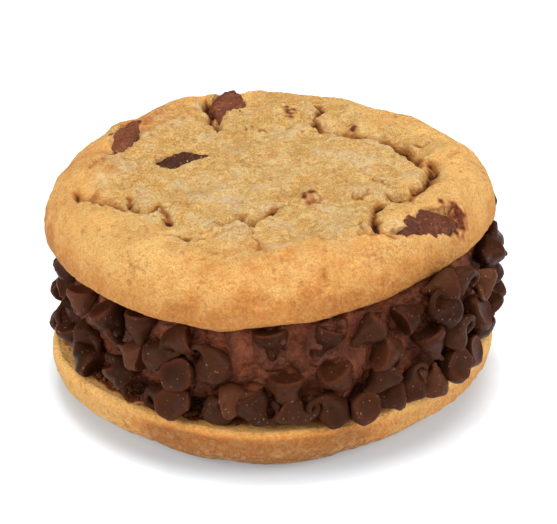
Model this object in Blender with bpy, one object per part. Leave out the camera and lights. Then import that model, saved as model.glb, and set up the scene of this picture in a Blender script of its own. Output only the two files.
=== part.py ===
"""Ice cream sandwich: two crackled chocolate chip cookies round a thick disc of chocolate ice cream.

The side of the ice cream is rolled in mini chocolate chips, pressed in at every angle.
Metres, +Z up. The origin is where the middle of the lower cookie rests. The front faces -Y.
"""

import math
import random

import bmesh
import bpy
import numpy as np
from mathutils import Euler, Matrix, Vector

MM = 0.001
GAP = 0.3 * MM

# The two cookies. Each has a flat baked base and a domed, crackled top. The lower one lies upside down.
TOP_CENTRE = (-0.9 * MM, 0.0, 33.8 * MM)
TOP_TILT = (-0.6, -2.1, 0.0)
BOTTOM_THICKNESS = 11.2 * MM
CRUST_ROUND = 8.0 * MM
BASE_ROUND = 1.5 * MM
EDGE_FOOT = 2.5 * MM
COOKIE_SEGMENTS = 60
CRUST_RING_STEP = 4.2 * MM

# Uneven edges: how many waves go round, their size as a share of the radius, where they start.
TOP_LOBES = ((2, 0.009, 21), (3, 0.026, 5), (4, 0.024, 5), (6, 0.005, 0))
BOTTOM_LOBES = ((2, 0.007, 36), (3, 0.012, 2), (4, 0.008, -2), (5, 0.015, -8), (6, 0.009, 17))
CORE_LOBES = ((2, 0.006, 70), (3, 0.008, 40), (5, 0.005, 10), (9, 0.004, 5))

# Cracks in each crust, in mm on the crust's own plan: depth, half width, then the line it follows.
TOP_CRACKS = (
    (1.1, 1.5, ((-39, -7), (-34, -12), (-27.5, -15), (-22.5, -18), (-19, -19), (-17, -24))),
    (0.8, 1.3, ((-26.5, -10), (-25.5, -13), (-25, -16))),
    (0.8, 1.4, ((-18.5, -15), (-15, -18), (-11, -22), (-5.5, -24), (-1.5, -20), (1, -17))),
    (0.8, 1.4, ((-14, -25), (-10, -28), (-4.5, -26))),
    (1.7, 1.9, ((10, 33), (10.5, 26), (12, 22.5), (19, 19), (23, 15.5), (26.5, 8.5), (29, 5), (29, -1))),
    (1.3, 1.6, ((29, -1), (27, -8), (22, -12.5), (19, -17), (17.5, -23))),
    (0.8, 1.3, ((14, -7.5), (15.5, -10), (18, -8), (19, -2), (21.5, -7))),
    (0.9, 1.4, ((-10.5, 31), (-10, 27), (-9.5, 22))),
    (0.7, 1.3, ((32.5, 13), (36, 10), (39.5, 8))),
    (0.7, 1.3, ((17.5, 26.5), (19, 20))),
)
BOTTOM_CRACKS = (
    (1.3, 1.8, ((-27, 8), (-22, 19), (-12, 26), (2, 28), (11, 25))),
    (1.2, 1.7, ((26, 12), (29, 0), (25, -14), (16, -23))),
    (1.1, 1.6, ((5, -28), (-9, -27), (-20, -20), (-27, -9))),
    (0.8, 1.4, ((11, 25), (17, 33))),
    (0.8, 1.4, ((-27, -9), (-37, -12))),
)
RIM_RISE = 0.5
REST_RADIUS = 20.0
UNDERSIDE_DROP = 0.5
UNDERSIDE_EASE = 8.0

# Big chocolate chips baked into a crust: centre on the plan, half sizes, turn on the plan, how proud.
CHUNK_LEAN_STEP = 2.5
TOP_CHUNKS = {
    "chunk_right": ((31.4, -19.6), (6.4, 5.2, 3.2), -35, 0.3),
    "chunk_left": ((-16.4, 9.0), (5.8, 3.0, 2.6), 14, 0.2),
    "chunk_back": ((-8.6, 33.2), (6.6, 3.9, 3.4), -78, 1.0),
    "chunk_back_left": ((-29.2, 19.4), (7.6, 3.1, 3.0), 76, 0.2),
}
BOTTOM_CHUNKS = {
    "chunk_under_front": ((10.0, -33.0), (6.0, 4.6, 3.0), 20, 0.1),
    "chunk_under_left": ((-33.0, 9.0), (5.4, 4.0, 2.8), 70, 0.1),
}

TOP_COOKIE = {
    "radius": 45.0 * MM, "thickness": 11.9 * MM, "lobes": TOP_LOBES, "cracks": TOP_CRACKS,
    "chunks": TOP_CHUNKS, "upside_down": False,
}
BOTTOM_COOKIE = {
    "radius": 45.2 * MM, "thickness": BOTTOM_THICKNESS, "lobes": BOTTOM_LOBES, "cracks": BOTTOM_CRACKS,
    "chunks": BOTTOM_CHUNKS, "upside_down": True,
}

# The ice cream between them.
CORE_RADIUS = 42.0 * MM
CORE_CENTRE_X = 1.5 * MM
CORE_SEGMENTS = 48
CORE_PINCH = 1.6 * MM

# Mini chocolate chips: a flat round base, a bulging side and a tip that often curls.
CHIP_RADIUS = 3.4 * MM
CHIP_HEIGHT = 7.2 * MM
CHIP_SIDES = 7
CHIP_RINGS = ((0.9, 0.0), (1.02, 0.24), (0.72, 0.66))
CHIP_CURL = 0.35
CHIP_GRIP = 0.9 * MM
CHIP_SPACING = 6.4 * MM
CHIP_MIDDLE = 0.42
CHIP_SEED = 7
LOOSE_SECTOR = (58, 300)
LOOSE_HEIGHTS = (14.2, 31.6)

# Chips that face the front: degrees round from the front, height in mm, how proud in mm, then the
# lean of the tip from straight out (180 shows the base) and which way it leans (0 right, 90 up).
FRONT_CHIPS = (
    (-85, 30, 1.5, 90, 90), (-80, 23.5, 2.0, 120, 200), (-61, 27.2, 2.8, 85, 280),
    (-70.5, 17, 2.4, 90, 95), (-74, 12.5, 0.8, 110, 270), (-59.5, 19, 1.0, 90, 0),
    (-60, 12.8, 1.6, 80, 150), (-44, 17.7, 2.0, 80, 130), (-44, 12.5, 0.8, 90, 300),
    (-47.5, 28.3, 2.0, 110, 300), (-37.5, 30, 1.6, 80, 275), (-40, 22.7, 2.0, 85, 170),
    (-30, 24.6, 1.8, 80, 15), (-26, 30.4, 1.6, 80, 200), (-16.5, 26, 2.0, 75, 100),
    (-25, 21.4, 2.4, 155, 270), (-26.5, 14.6, 2.0, 150, 250), (-31, 15.3, 0.6, 90, 170),
    (-15.5, 14.6, 2.0, 65, 95), (-9.5, 18, 2.2, 85, 15), (-5.5, 13.3, 2.6, 75, 300),
    (2.5, 20, 2.0, 85, 275), (4.5, 13.3, 2.0, 80, 330), (14, 13.7, 2.0, 75, 110),
    (15.5, 21.4, 1.6, 100, 290), (-1.5, 29.9, 0.2, 85, 275), (13, 30.5, 0.9, 85, 250),
    (23.5, 31, 1.6, 85, 200), (37, 32.5, 1.4, 95, 20), (46.5, 30, 2.4, 85, 170),
    (43, 24, 2.4, 80, 285), (30, 25.5, 2.0, 95, 340), (27.5, 19.9, 2.0, 80, 215),
    (37, 16.6, 2.0, 85, 100), (46.5, 14.5, 2.0, 80, 85), (22.5, 13, 2.0, 155, 270),
    (30.5, 12.5, 0.9, 100, 180), (51.5, 16.2, 2.4, 150, 280), (53, 23.8, 2.8, 70, 60),
    (64, 20.5, 1.8, 150, 250), (76, 15.5, 2.4, 50, 40), (81, 19.5, 2.2, 130, 90),
    (69.5, 27.5, 2.4, 70, 230), (82, 26.5, 2.4, 100, 100), (76, 33, 1.8, 90, 160),
    (90, 32.5, 1.8, 80, 120), (91, 28, 2.4, 40, 270), (57, 34, 1.6, 60, 30),
    (48.5, 34.5, 0.9, 120, 180), (44, 18.5, -0.4, 70, 60),
)


def make_material(name, colour, roughness):
    material = bpy.data.materials.new(name)
    material.use_nodes = True
    shader = material.node_tree.nodes["Principled BSDF"]
    shader.inputs["Base Color"].default_value = (*colour, 1.0)
    shader.inputs["Roughness"].default_value = roughness
    shader.inputs["Metallic"].default_value = 0.0
    return material


def make_object(name, points, faces, material):
    """Make a smooth-shaded mesh object whose faces point outwards."""
    mesh = bpy.data.meshes.new(name)
    mesh.from_pydata([tuple(point) for point in points], [], faces)
    mesh.materials.append(material)
    shape = bmesh.new()
    shape.from_mesh(mesh)
    bmesh.ops.triangulate(shape, faces=[face for face in shape.faces if len(face.verts) > 3])
    bmesh.ops.recalc_face_normals(shape, faces=shape.faces)
    shape.to_mesh(mesh)
    shape.free()
    thing = bpy.data.objects.new(name, mesh)
    bpy.context.scene.collection.objects.link(thing)
    return thing


def finish_shading(thing):
    thing.data.shade_smooth()
    thing.data.set_sharp_from_angle(angle=math.radians(50))


def ring_faces(rings, sides):
    """Faces of a closed body: point 0, then `rings` rings of `sides` points, then the last point."""
    faces = []
    last = 1 + rings * sides
    for side in range(sides):
        after = (side + 1) % sides
        faces.append((0, 1 + after, 1 + side))
        for ring in range(rings - 1):
            low = 1 + ring * sides
            high = low + sides
            faces.append((low + side, low + after, high + after, high + side))
        top = 1 + (rings - 1) * sides
        faces.append((top + side, top + after, last))
    return faces


def lobed(radius, lobes, angle):
    """An uneven circle: radius * (1 + sum of size * cos(waves * (angle - start)))."""
    return radius * (1 + sum(size * np.cos(waves * (angle - math.radians(start)))
                             for waves, size, start in lobes))


def path_distance(x, y, path):
    """Distance from each plan point to the nearest part of a line through the path's points."""
    nearest = np.full(x.shape, 1e9)
    for (ax, ay), (bx, by) in zip(path, path[1:]):
        length_squared = (bx - ax) ** 2 + (by - ay) ** 2
        along = np.clip(((x - ax) * (bx - ax) + (y - ay) * (by - ay)) / length_squared, 0, 1)
        nearest = np.minimum(nearest, np.hypot(x - ax - along * (bx - ax), y - ay - along * (by - ay)))
    return nearest


def crust_relief(x, y, cookie):
    """Height in mm that the cracks take off and the puffed ring between centre and rim adds.

    A cookie that lies upside down has a level middle to rest on, and nothing stands over it.
    """
    distance = np.hypot(x, y)
    relief = RIM_RISE * np.exp(-((distance * MM / cookie["radius"] - 0.72) / 0.12) ** 2) - RIM_RISE * 0.4
    for depth, half_width, path in cookie["cracks"]:
        relief -= depth * np.exp(-(path_distance(x, y, path) / half_width) ** 2)
    if cookie["upside_down"]:
        drop = UNDERSIDE_DROP * np.clip((distance - REST_RADIUS) / UNDERSIDE_EASE, 0, 1)
        relief = np.where(distance > REST_RADIUS, np.minimum(relief, 0) - drop, 0)
    return relief


def crust_height(x, y, cookie):
    """Height in mm of a cookie's baked surface over its flat base at plan points in mm."""
    reach = lobed(cookie["radius"] / MM, cookie["lobes"], np.arctan2(y, x))
    round_part = np.clip((np.hypot(x, y) - (reach - CRUST_ROUND / MM)) / (CRUST_ROUND / MM), 0, 1)
    dome = (cookie["thickness"] - EDGE_FOOT) / MM * np.sqrt(1 - round_part ** 2)
    return EDGE_FOOT / MM + dome + crust_relief(x, y, cookie) * (1 - round_part ** 2)


def cookie_points(cookie):
    """Points of a cookie on rings: flat base, small base round, tall edge, crackled crust to the middle."""
    angle = np.linspace(0, 2 * math.pi, COOKIE_SEGMENTS, endpoint=False)
    reach = lobed(cookie["radius"], cookie["lobes"], angle) / MM
    cosine = np.cos(angle)
    sine = np.sin(angle)
    rings = []
    for turn in (0, 45, 90):
        inset = (1 - math.sin(math.radians(turn))) * BASE_ROUND / MM
        height = (1 - math.cos(math.radians(turn))) * BASE_ROUND / MM
        rings.append((reach - inset, np.full(COOKIE_SEGMENTS, height)))
    edge_shares = [math.cos(math.radians(turn)) for turn in (28, 50, 70)]
    inner = reach - CRUST_ROUND / MM
    crust_rings = int(round(cookie["radius"] / CRUST_RING_STEP)) - 2
    radii = [inner + share * CRUST_ROUND / MM for share in edge_shares]
    radii += [inner * (crust_rings - step) / crust_rings for step in range(crust_rings)]
    for ring in radii:
        rings.append((ring, crust_height(ring * cosine, ring * sine, cookie)))
    points = [(0.0, 0.0, 0.0)]
    for ring, height in rings:
        points += zip(ring * cosine * MM, ring * sine * MM, height * MM)
    middle = crust_height(np.zeros(1), np.zeros(1), cookie)[0]
    points.append((0.0, 0.0, middle * MM))
    return points, len(rings)


def turn_over(thing):
    """Lay a thing upside down on the same plan, with the lower cookie's base on top."""
    thing.data.transform(Matrix.Translation((0, 0, BOTTOM_THICKNESS)) @ Matrix.Diagonal((1, 1, -1, 1)))
    thing.data.flip_normals()


def make_chunk(name, place, half_sizes, grow, material, sides=12, rings=4):
    """A big chip as a drop-shaped pebble, blunt at one end and narrower at the other, at `place`."""
    points = [(0.0, 0.0, -half_sizes[2] - grow)]
    for ring in range(1, rings + 1):
        polar = math.pi * ring / (rings + 1)
        for side in range(sides):
            angle = 2 * math.pi * side / sides
            narrow = 1 - 0.22 * math.cos(angle)
            wobble = 1 + 0.05 * math.cos(3 * angle + 1.0)
            flat = math.sin(polar) ** 0.8 * wobble
            points.append(((half_sizes[0] + grow) * flat * math.cos(angle),
                           (half_sizes[1] + grow) * flat * math.sin(angle) * narrow,
                           -(half_sizes[2] + grow) * math.cos(polar)))
    points.append((0.0, 0.0, half_sizes[2] + grow))
    chunk = make_object(name, points, ring_faces(rings, sides), material)
    chunk.data.transform(place)
    return chunk


def chunk_place(centre, half_height, turn, proud, cookie):
    """Where a chunk lies: its top stands `proud` mm over the crust and it leans with the crust."""
    x, y = centre
    step = CHUNK_LEAN_STEP
    plan_x = np.array([x, x + step, x - step, x, x])
    plan_y = np.array([y, y, y, y + step, y - step])
    at = crust_height(plan_x, plan_y, cookie)
    normal = Vector((-(at[1] - at[2]) / (2 * step), -(at[3] - at[4]) / (2 * step), 1.0)).normalized()
    level = Vector((x, y, at[0])) + normal * (proud - half_height)
    lean = Vector((0, 0, 1)).rotation_difference(normal).to_matrix().to_4x4()
    return Matrix.Translation(level * MM) @ lean @ Matrix.Rotation(math.radians(turn), 4, "Z")


def combine(thing, others, operation):
    """Join or cut `thing` with a list of objects by one Boolean on a collection, and apply it."""
    group = bpy.data.collections.new(thing.name + "_others")
    bpy.context.scene.collection.children.link(group)
    for other in others:
        bpy.context.scene.collection.objects.unlink(other)
        group.objects.link(other)
    modifier = thing.modifiers.new("combine", "BOOLEAN")
    modifier.operation = operation
    modifier.operand_type = "COLLECTION"
    modifier.collection = group
    modifier.solver = "EXACT"
    bpy.context.view_layer.update()
    graph = bpy.context.evaluated_depsgraph_get()
    joined = bpy.data.meshes.new_from_object(thing.evaluated_get(graph))
    thing.modifiers.clear()
    thing.data = joined
    for other in others:
        bpy.data.objects.remove(other)
    bpy.data.collections.remove(group)


def keep_largest_shell(thing):
    """Drop loose scraps, and the walls of any hollow that joining has sealed."""
    shape = bmesh.new()
    shape.from_mesh(thing.data)
    unseen = set(shape.verts)
    shells = []
    while unseen:
        stack = [unseen.pop()]
        shell = list(stack)
        while stack:
            for edge in stack.pop().link_edges:
                for vertex in edge.verts:
                    if vertex in unseen:
                        unseen.remove(vertex)
                        stack.append(vertex)
                        shell.append(vertex)
        shells.append(shell)
    shells.sort(key=len, reverse=True)
    scraps = [vertex for shell in shells[1:] for vertex in shell]
    bmesh.ops.delete(shape, geom=scraps, context="VERTS")
    bmesh.ops.triangulate(shape, faces=shape.faces)
    shape.to_mesh(thing.data)
    shape.free()


def make_cookie(name, cookie, crust, chocolate):
    """A cookie with big chips baked in: a pocket for each chip, and the chip in it with a thin gap."""
    points, rings = cookie_points(cookie)
    body = make_object(name, points, ring_faces(rings, COOKIE_SEGMENTS), crust)
    pockets = []
    chunks = []
    for chunk_name, (centre, half_sizes, turn, proud) in cookie["chunks"].items():
        place = chunk_place(centre, half_sizes[2], turn, proud, cookie)
        sizes = [half * MM for half in half_sizes]
        pockets.append(make_chunk(chunk_name + "_pocket", place, sizes, GAP, chocolate))
        chunks.append(make_chunk(chunk_name, place, sizes, 0.0, chocolate))
    if cookie["upside_down"]:
        for thing in (body, *pockets, *chunks):
            turn_over(thing)
    combine(body, pockets, "DIFFERENCE")
    keep_largest_shell(body)
    for chunk in chunks:
        chunk.parent = body
    for thing in (body, *chunks):
        finish_shading(thing)
    return body


def top_base_height(x, y):
    """Height of the underside of the tilted top cookie over the floor at a plan point."""
    normal = Euler([math.radians(angle) for angle in TOP_TILT]).to_matrix() @ Vector((0, 0, 1))
    return TOP_CENTRE[2] - (normal.x * (x - TOP_CENTRE[0]) + normal.y * (y - TOP_CENTRE[1])) / normal.z


def make_core(material):
    """The ice cream: an uneven disc whose side swells a little between the two cookies."""
    shares = (0.0, 0.12, 0.5, 0.9, 1.0)
    points = [(CORE_CENTRE_X, 0.0, BOTTOM_THICKNESS + GAP)]
    for share in shares:
        for side in range(CORE_SEGMENTS):
            angle = 2 * math.pi * side / CORE_SEGMENTS
            swell = math.sin(math.pi * share) ** 0.4
            ripple = 0.35 * MM * math.sin(4 * share + 7 * angle) * swell
            radius = lobed(CORE_RADIUS - CORE_PINCH, CORE_LOBES, angle) + CORE_PINCH * swell + ripple
            x = CORE_CENTRE_X + radius * math.cos(angle)
            y = radius * math.sin(angle)
            low = BOTTOM_THICKNESS + GAP
            high = top_base_height(x, y) - GAP
            points.append((x, y, low + share * (high - low)))
    points.append((CORE_CENTRE_X, 0.0, top_base_height(CORE_CENTRE_X, 0.0) - GAP))
    return make_object("ice_cream", points, ring_faces(len(shares), CORE_SEGMENTS), material)


def chip_placements():
    """All mini chips: the front ones as listed, the rest thrown at random with even spacing."""
    draw = random.Random(CHIP_SEED)
    chips = [list(chip) for chip in FRONT_CHIPS]
    for _ in range(4000):
        azimuth = draw.uniform(*LOOSE_SECTOR)
        height = draw.uniform(*LOOSE_HEIGHTS)
        proud = draw.uniform(1.2, 2.4)
        kind = draw.random()
        lean = draw.uniform(75, 105) if kind < 0.6 else draw.uniform(140, 165)
        if kind > 0.82:
            lean = draw.uniform(35, 60)
        turn = draw.uniform(0, 360)
        spacing = CHIP_SPACING / MM
        arc = CORE_RADIUS / MM * math.pi / 180
        around = [abs((azimuth - chip[0] + 180) % 360 - 180) * arc for chip in chips]
        if all(math.hypot(gap, height - chip[1]) > spacing for gap, chip in zip(around, chips)):
            chips.append([azimuth, height, proud, lean, turn])
    return chips


def chip_reach(cosine, radius, length):
    """How far a chip reaches back and forth along a direction, from that direction's cosine to its axis."""
    flat = math.sqrt(max(0.0, 1 - cosine ** 2)) * radius
    rings = [*CHIP_RINGS, (CHIP_CURL, 1.0)]
    back = min((rise - CHIP_MIDDLE) * length * cosine - share * flat for share, rise in rings)
    forth = max((rise - CHIP_MIDDLE) * length * cosine + share * flat for share, rise in rings)
    return back, forth


def chip_matrix(azimuth, height, proud, lean, turn, size):
    """Place a chip: pressed into the ice cream by its grip, and clear of both cookies."""
    azimuth, lean, turn = (math.radians(value) for value in (azimuth, lean, turn))
    outward = Vector((math.sin(azimuth), -math.cos(azimuth), 0))
    sideways = Vector((math.cos(azimuth), math.sin(azimuth), 0))
    along_side = sideways * math.cos(turn) + Vector((0, 0, math.sin(turn)))
    axis = outward * math.cos(lean) + along_side * math.sin(lean)
    radius = CHIP_RADIUS * size
    length = CHIP_HEIGHT * size
    inner = chip_reach(axis @ outward, radius, length)[0]
    low, high = chip_reach(axis.z, radius, length)
    place = Vector((CORE_CENTRE_X, 0, 0)) + outward * (CORE_RADIUS + min(proud * MM, -CHIP_GRIP - inner))
    lowest = BOTTOM_THICKNESS + 1.5 * GAP - low
    highest = top_base_height(place.x, place.y) - 2.5 * GAP - high
    place.z = min(max(height * MM, lowest), highest)
    turned = Vector((0, 0, 1)).rotation_difference(axis).to_matrix().to_4x4()
    return Matrix.Translation(place) @ turned, radius, length


def make_chip(number, chip, draw, material):
    """One mini chip: a drop on a flat base, its tip bent to one side by its curl."""
    size = draw.uniform(0.9, 1.1)
    curl = draw.uniform(0.0, CHIP_CURL)
    spin = draw.uniform(0, 2 * math.pi)
    matrix, radius, length = chip_matrix(*chip, size)
    base = -CHIP_MIDDLE * length
    points = [(0.0, 0.0, base)]
    for share, rise in CHIP_RINGS:
        bend = curl * rise ** 2 * radius * 0.5
        for side in range(CHIP_SIDES):
            angle = 2 * math.pi * side / CHIP_SIDES
            points.append((share * radius * math.cos(angle) + bend * math.cos(spin),
                           share * radius * math.sin(angle) + bend * math.sin(spin), base + rise * length))
    points.append((curl * radius * math.cos(spin), curl * radius * math.sin(spin), base + length))
    piece = make_object(f"chip_{number}", points, ring_faces(len(CHIP_RINGS), CHIP_SIDES), material)
    piece.data.transform(matrix)
    return piece


def make_ice_cream(cream, chocolate):
    """The ice cream with every mini chip fused to its side."""
    core = make_core(cream)
    core.data.materials.append(chocolate)
    draw = random.Random(CHIP_SEED)
    chips = [make_chip(number, chip, draw, chocolate) for number, chip in enumerate(chip_placements())]
    combine(core, chips, "UNION")
    keep_largest_shell(core)
    finish_shading(core)
    return core


def main():
    for thing in list(bpy.data.objects):
        bpy.data.objects.remove(thing)
    crust = make_material("baked_cookie", (0.70, 0.43, 0.18), 0.8)
    cream = make_material("chocolate_ice_cream", (0.12, 0.035, 0.013), 0.45)
    chip_chocolate = make_material("mini_chip_chocolate", (0.065, 0.026, 0.016), 0.4)
    chunk_chocolate = make_material("baked_chocolate", (0.14, 0.045, 0.022), 0.45)

    top = make_cookie("top_cookie", TOP_COOKIE, crust, chunk_chocolate)
    top.location = TOP_CENTRE
    top.rotation_euler = [math.radians(angle) for angle in TOP_TILT]
    make_cookie("bottom_cookie", BOTTOM_COOKIE, crust, chunk_chocolate)
    make_ice_cream(cream, chip_chocolate)


main()
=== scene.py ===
# Ice cream sandwich: two crackled chocolate chip cookies, chocolate ice cream between them,
# and mini chocolate chips pressed into its side. Metres, +Z up, the front faces -Y.
import math
import random

import bpy
import numpy as np
from mathutils import Euler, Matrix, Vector


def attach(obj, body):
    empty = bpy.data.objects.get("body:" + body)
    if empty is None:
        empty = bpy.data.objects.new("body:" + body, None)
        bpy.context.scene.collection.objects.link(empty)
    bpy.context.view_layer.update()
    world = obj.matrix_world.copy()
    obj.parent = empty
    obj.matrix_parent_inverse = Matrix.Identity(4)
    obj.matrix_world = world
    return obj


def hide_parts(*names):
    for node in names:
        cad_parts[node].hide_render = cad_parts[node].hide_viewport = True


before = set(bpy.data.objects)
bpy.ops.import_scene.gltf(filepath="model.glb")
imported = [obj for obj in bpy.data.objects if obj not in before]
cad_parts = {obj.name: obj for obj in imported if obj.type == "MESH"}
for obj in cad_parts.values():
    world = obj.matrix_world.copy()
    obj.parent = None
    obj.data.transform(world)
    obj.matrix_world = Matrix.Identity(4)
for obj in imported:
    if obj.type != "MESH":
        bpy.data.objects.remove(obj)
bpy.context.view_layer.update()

mm = 0.001


# Helpers for shapes. Lengths are in mm until makeMesh scales them.

def ripples(points, size, seed, count=30):
    # Smooth bumps about `size` across, spread about 1: the mean of cos(k . p + phase) over random k.
    draw = np.random.default_rng(seed)
    ways = draw.normal(size=(count, points.shape[-1]))
    pitch = (2 * np.pi / size) * draw.uniform(0.7, 1.4, (count, 1))
    ways *= pitch / np.linalg.norm(ways, axis=1, keepdims=True)
    return np.cos(points @ ways.T + draw.uniform(0, 2 * np.pi, count)).sum(-1) * math.sqrt(2 / count)


def cellDistances(x, y, size, seed):
    # Jittered dots, one in each square of side `size`: distance to the nearest dot and to the next one,
    # and the nearest one's luck, 0 to 1.
    gx = np.floor(x / size)
    gy = np.floor(y / size)
    first = np.full(x.shape, 9e9)
    second = np.full(x.shape, 9e9)
    luck = np.zeros(x.shape)
    for stepX in (-1, 0, 1):
        for stepY in (-1, 0, 1):
            cx = gx + stepX
            cy = gy + stepY
            roll = np.modf(np.abs(np.sin(cx * 127.1 + cy * 311.7 + seed * 7.3)) * 43758.5453)[0]
            rollB = np.modf(np.abs(np.sin(cx * 269.5 + cy * 183.3 + seed * 3.1)) * 24634.6345)[0]
            away = np.hypot(x - (cx + roll) * size, y - (cy + rollB) * size)
            nearer = away < first
            second = np.where(nearer, first, np.minimum(second, away))
            luck = np.where(nearer, np.modf(roll * 97.0 + rollB * 57.0)[0], luck)
            first = np.where(nearer, away, first)
    return first, second, luck


def smooth(low, high, value):
    # 0 below low, 1 above high, an S curve 3t^2 - 2t^3 between.
    t = np.clip((value - low) / (high - low), 0, 1)
    return t * t * (3 - 2 * t)


def bell(value, width, power=2):
    # 1 at 0, falling away on both sides: exp(-(value / width)^power).
    return np.exp(-(value / width) ** power)


def alongPath(x, y, path):
    # Nearest place on a line: distance, +1 on its left or -1 on its right, and share of its length.
    path = np.array(path, float)
    lengths = np.hypot(*np.diff(path, axis=0).T)
    before = np.concatenate([[0], np.cumsum(lengths)]) / lengths.sum()
    nearest = np.full(x.shape, 9e9)
    side = np.ones(x.shape)
    share = np.zeros(x.shape)
    for (ax, ay), (bx, by), long, start in zip(path, path[1:], lengths, before):
        dx, dy = (bx - ax) / long, (by - ay) / long
        run = np.clip((x - ax) * dx + (y - ay) * dy, 0, long)
        away = np.hypot(x - ax - run * dx, y - ay - run * dy)
        nearer = away < nearest
        side = np.where(nearer, np.sign(dx * (y - ay) - dy * (x - ax)), side)
        share = np.where(nearer, start + run / lengths.sum(), share)
        nearest = np.where(nearer, away, nearest)
    return nearest, side, share


def insideOutline(x, y, outline):
    # Signed distance to a closed outline, positive inside, by the even-odd rule.
    closed = list(outline) + [outline[0]]
    inside = np.zeros(x.shape, bool)
    for (ax, ay), (bx, by) in zip(closed, closed[1:]):
        crosses = ((ay > y) != (by > y)) & (x < (bx - ax) * (y - ay) / (by - ay + 1e-9) + ax)
        inside ^= crosses
    distance = alongPath(x, y, closed)[0]
    return np.where(inside, distance, -distance)


def lobed(radius, lobes, angle):
    # An uneven circle: radius * (1 + sum of size * cos(waves * (angle - start))).
    return radius * (1 + sum(size * np.cos(waves * (angle - np.radians(start)))
                             for waves, size, start in lobes))


def gridNormals(points):
    # Outward directions of a grid that closes on itself along its second axis, by differences crossed.
    down = np.gradient(points, axis=0)
    around = (np.roll(points, -1, axis=1) - np.roll(points, 1, axis=1)) / 2
    normal = np.cross(around, down)
    return normal / (np.linalg.norm(normal, axis=-1, keepdims=True) + 1e-12)


def tubeFaces(rings, sides):
    # Quads between `rings` rings of `sides` points, wrapping round.
    ring, side = np.meshgrid(np.arange(rings - 1), np.arange(sides), indexing="ij")
    a = (ring * sides + side).ravel()
    b = (ring * sides + (side + 1) % sides).ravel()
    return np.stack([a, b, b + sides, a + sides], axis=1)


def capFaces(sides, ringStart, pole, facing):
    # Triangles from one ring to a pole point.
    side = np.arange(sides)
    a = ringStart + side
    b = ringStart + (side + 1) % sides
    return np.stack([b, a, np.full(sides, pole)] if facing < 0 else [a, b, np.full(sides, pole)], axis=1)


def makeMesh(name, points, quads, triangles, marks, material, stands):
    mesh = bpy.data.meshes.new(name)
    mesh.vertices.add(len(points))
    mesh.vertices.foreach_set("co", (points * mm).astype(np.float32).ravel())
    corners = np.concatenate([quads.ravel(), triangles.ravel()])
    starts = np.concatenate([np.arange(len(quads)) * 4, len(quads) * 4 + np.arange(len(triangles)) * 3])
    mesh.loops.add(len(corners))
    mesh.loops.foreach_set("vertex_index", corners.astype(np.int32))
    mesh.polygons.add(len(starts))
    mesh.polygons.foreach_set("loop_start", starts.astype(np.int32))
    mesh.polygons.foreach_set("use_smooth", np.ones(len(starts), bool))
    mesh.update(calc_edges=True)
    for mark, values in marks.items():
        layer = mesh.attributes.new(mark, "FLOAT", "POINT")
        layer.data.foreach_set("value", values.astype(np.float32).ravel())
    mesh.materials.append(material)
    piece = bpy.data.objects.new(name, mesh)
    bpy.context.scene.collection.objects.link(piece)
    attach(piece, "root")
    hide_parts(*stands)
    print("made", name, len(points), "points")
    return piece


def makeClosedGrid(name, rings, firstPole, lastPole, marks, material, stands):
    # A closed body from a grid of rings plus a pole at each end, which takes its ring's mean of each mark.
    count, sides = rings.shape[:2]
    points = np.concatenate([rings.reshape(-1, 3), [firstPole], [lastPole]])
    first = count * sides
    triangles = np.concatenate([capFaces(sides, 0, first, -1),
                                capFaces(sides, first - sides, first + 1, 1)])
    flat = {mark: np.concatenate([grid.ravel(), [grid[0].mean()], [grid[-1].mean()]])
            for mark, grid in marks.items()}
    return makeMesh(name, points, tubeFaces(count, sides), triangles, flat, material, stands)


# Shader maths: a wire stands for one socket, and sums of wires add nodes.

class Wire:
    def __init__(self, tree, socket=None):
        self.tree = tree
        self.socket = socket

    def node(self, kind, inputs, settings=None, output=0):
        made = self.tree.nodes.new("ShaderNode" + kind)
        for name, value in (settings or {}).items():
            setattr(made, name, value)
        for name, value in inputs.items():
            if isinstance(value, Wire):
                self.tree.links.new(value.socket, made.inputs[name])
            else:
                made.inputs[name].default_value = value
        return Wire(self.tree, made.outputs[output])

    def maths(self, operation, first, second):
        return self.node("Math", {0: first, 1: second}, {"operation": operation})

    __add__ = __radd__ = lambda self, other: self.maths("ADD", self, other)
    __mul__ = __rmul__ = lambda self, other: self.maths("MULTIPLY", self, other)
    __sub__ = lambda self, other: self.maths("SUBTRACT", self, other)
    __rsub__ = lambda self, other: self.maths("SUBTRACT", other, self)

    def between(self, low, high):
        # 0 below low, 1 above high, smooth between.
        return self.node("MapRange", {"Value": self, "From Min": low, "From Max": high},
                         {"interpolation_type": "SMOOTHSTEP"})

    def blend(self, first, second):
        # The first colour where this is 0, the second where it is 1.
        return self.node("Mix", {0: self, 6: first, 7: second}, {"data_type": "RGBA"}, 2)


def tint(red, green, blue):
    # A screen colour, 0 to 255, as the linear colour a shader takes.
    channel = [value / 255 for value in (red, green, blue)]
    return (*[c / 12.92 if c < 0.04045 else ((c + 0.055) / 1.055) ** 2.4 for c in channel], 1.0)


def startMaterial(name, roughness, specular):
    material = bpy.data.materials.new(name)
    material.use_nodes = True
    shader = material.node_tree.nodes["Principled BSDF"]
    shader.inputs["Roughness"].default_value = roughness
    shader.inputs["Specular IOR Level"].default_value = specular
    wire = Wire(material.node_tree)
    place = wire.node("TexCoord", {}, output=3)
    return material, shader, wire, place


def finishMaterial(material, shader, colour, roughness, relief, look):
    links = material.node_tree.links
    links.new(colour.socket, shader.inputs["Base Color"])
    links.new(roughness.socket, shader.inputs["Roughness"])
    depth, strength = look["reliefHeight"], look["relief"]
    bump = relief.node("Bump", {"Height": relief, "Distance": depth, "Strength": strength})
    links.new(bump.socket, shader.inputs["Normal"])
    return material


def noise(wire, place, scale, detail, harshness=0.5):
    return wire.node("TexNoise", {"Vector": place, "Scale": scale, "Detail": detail, "Roughness": harshness})


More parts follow.
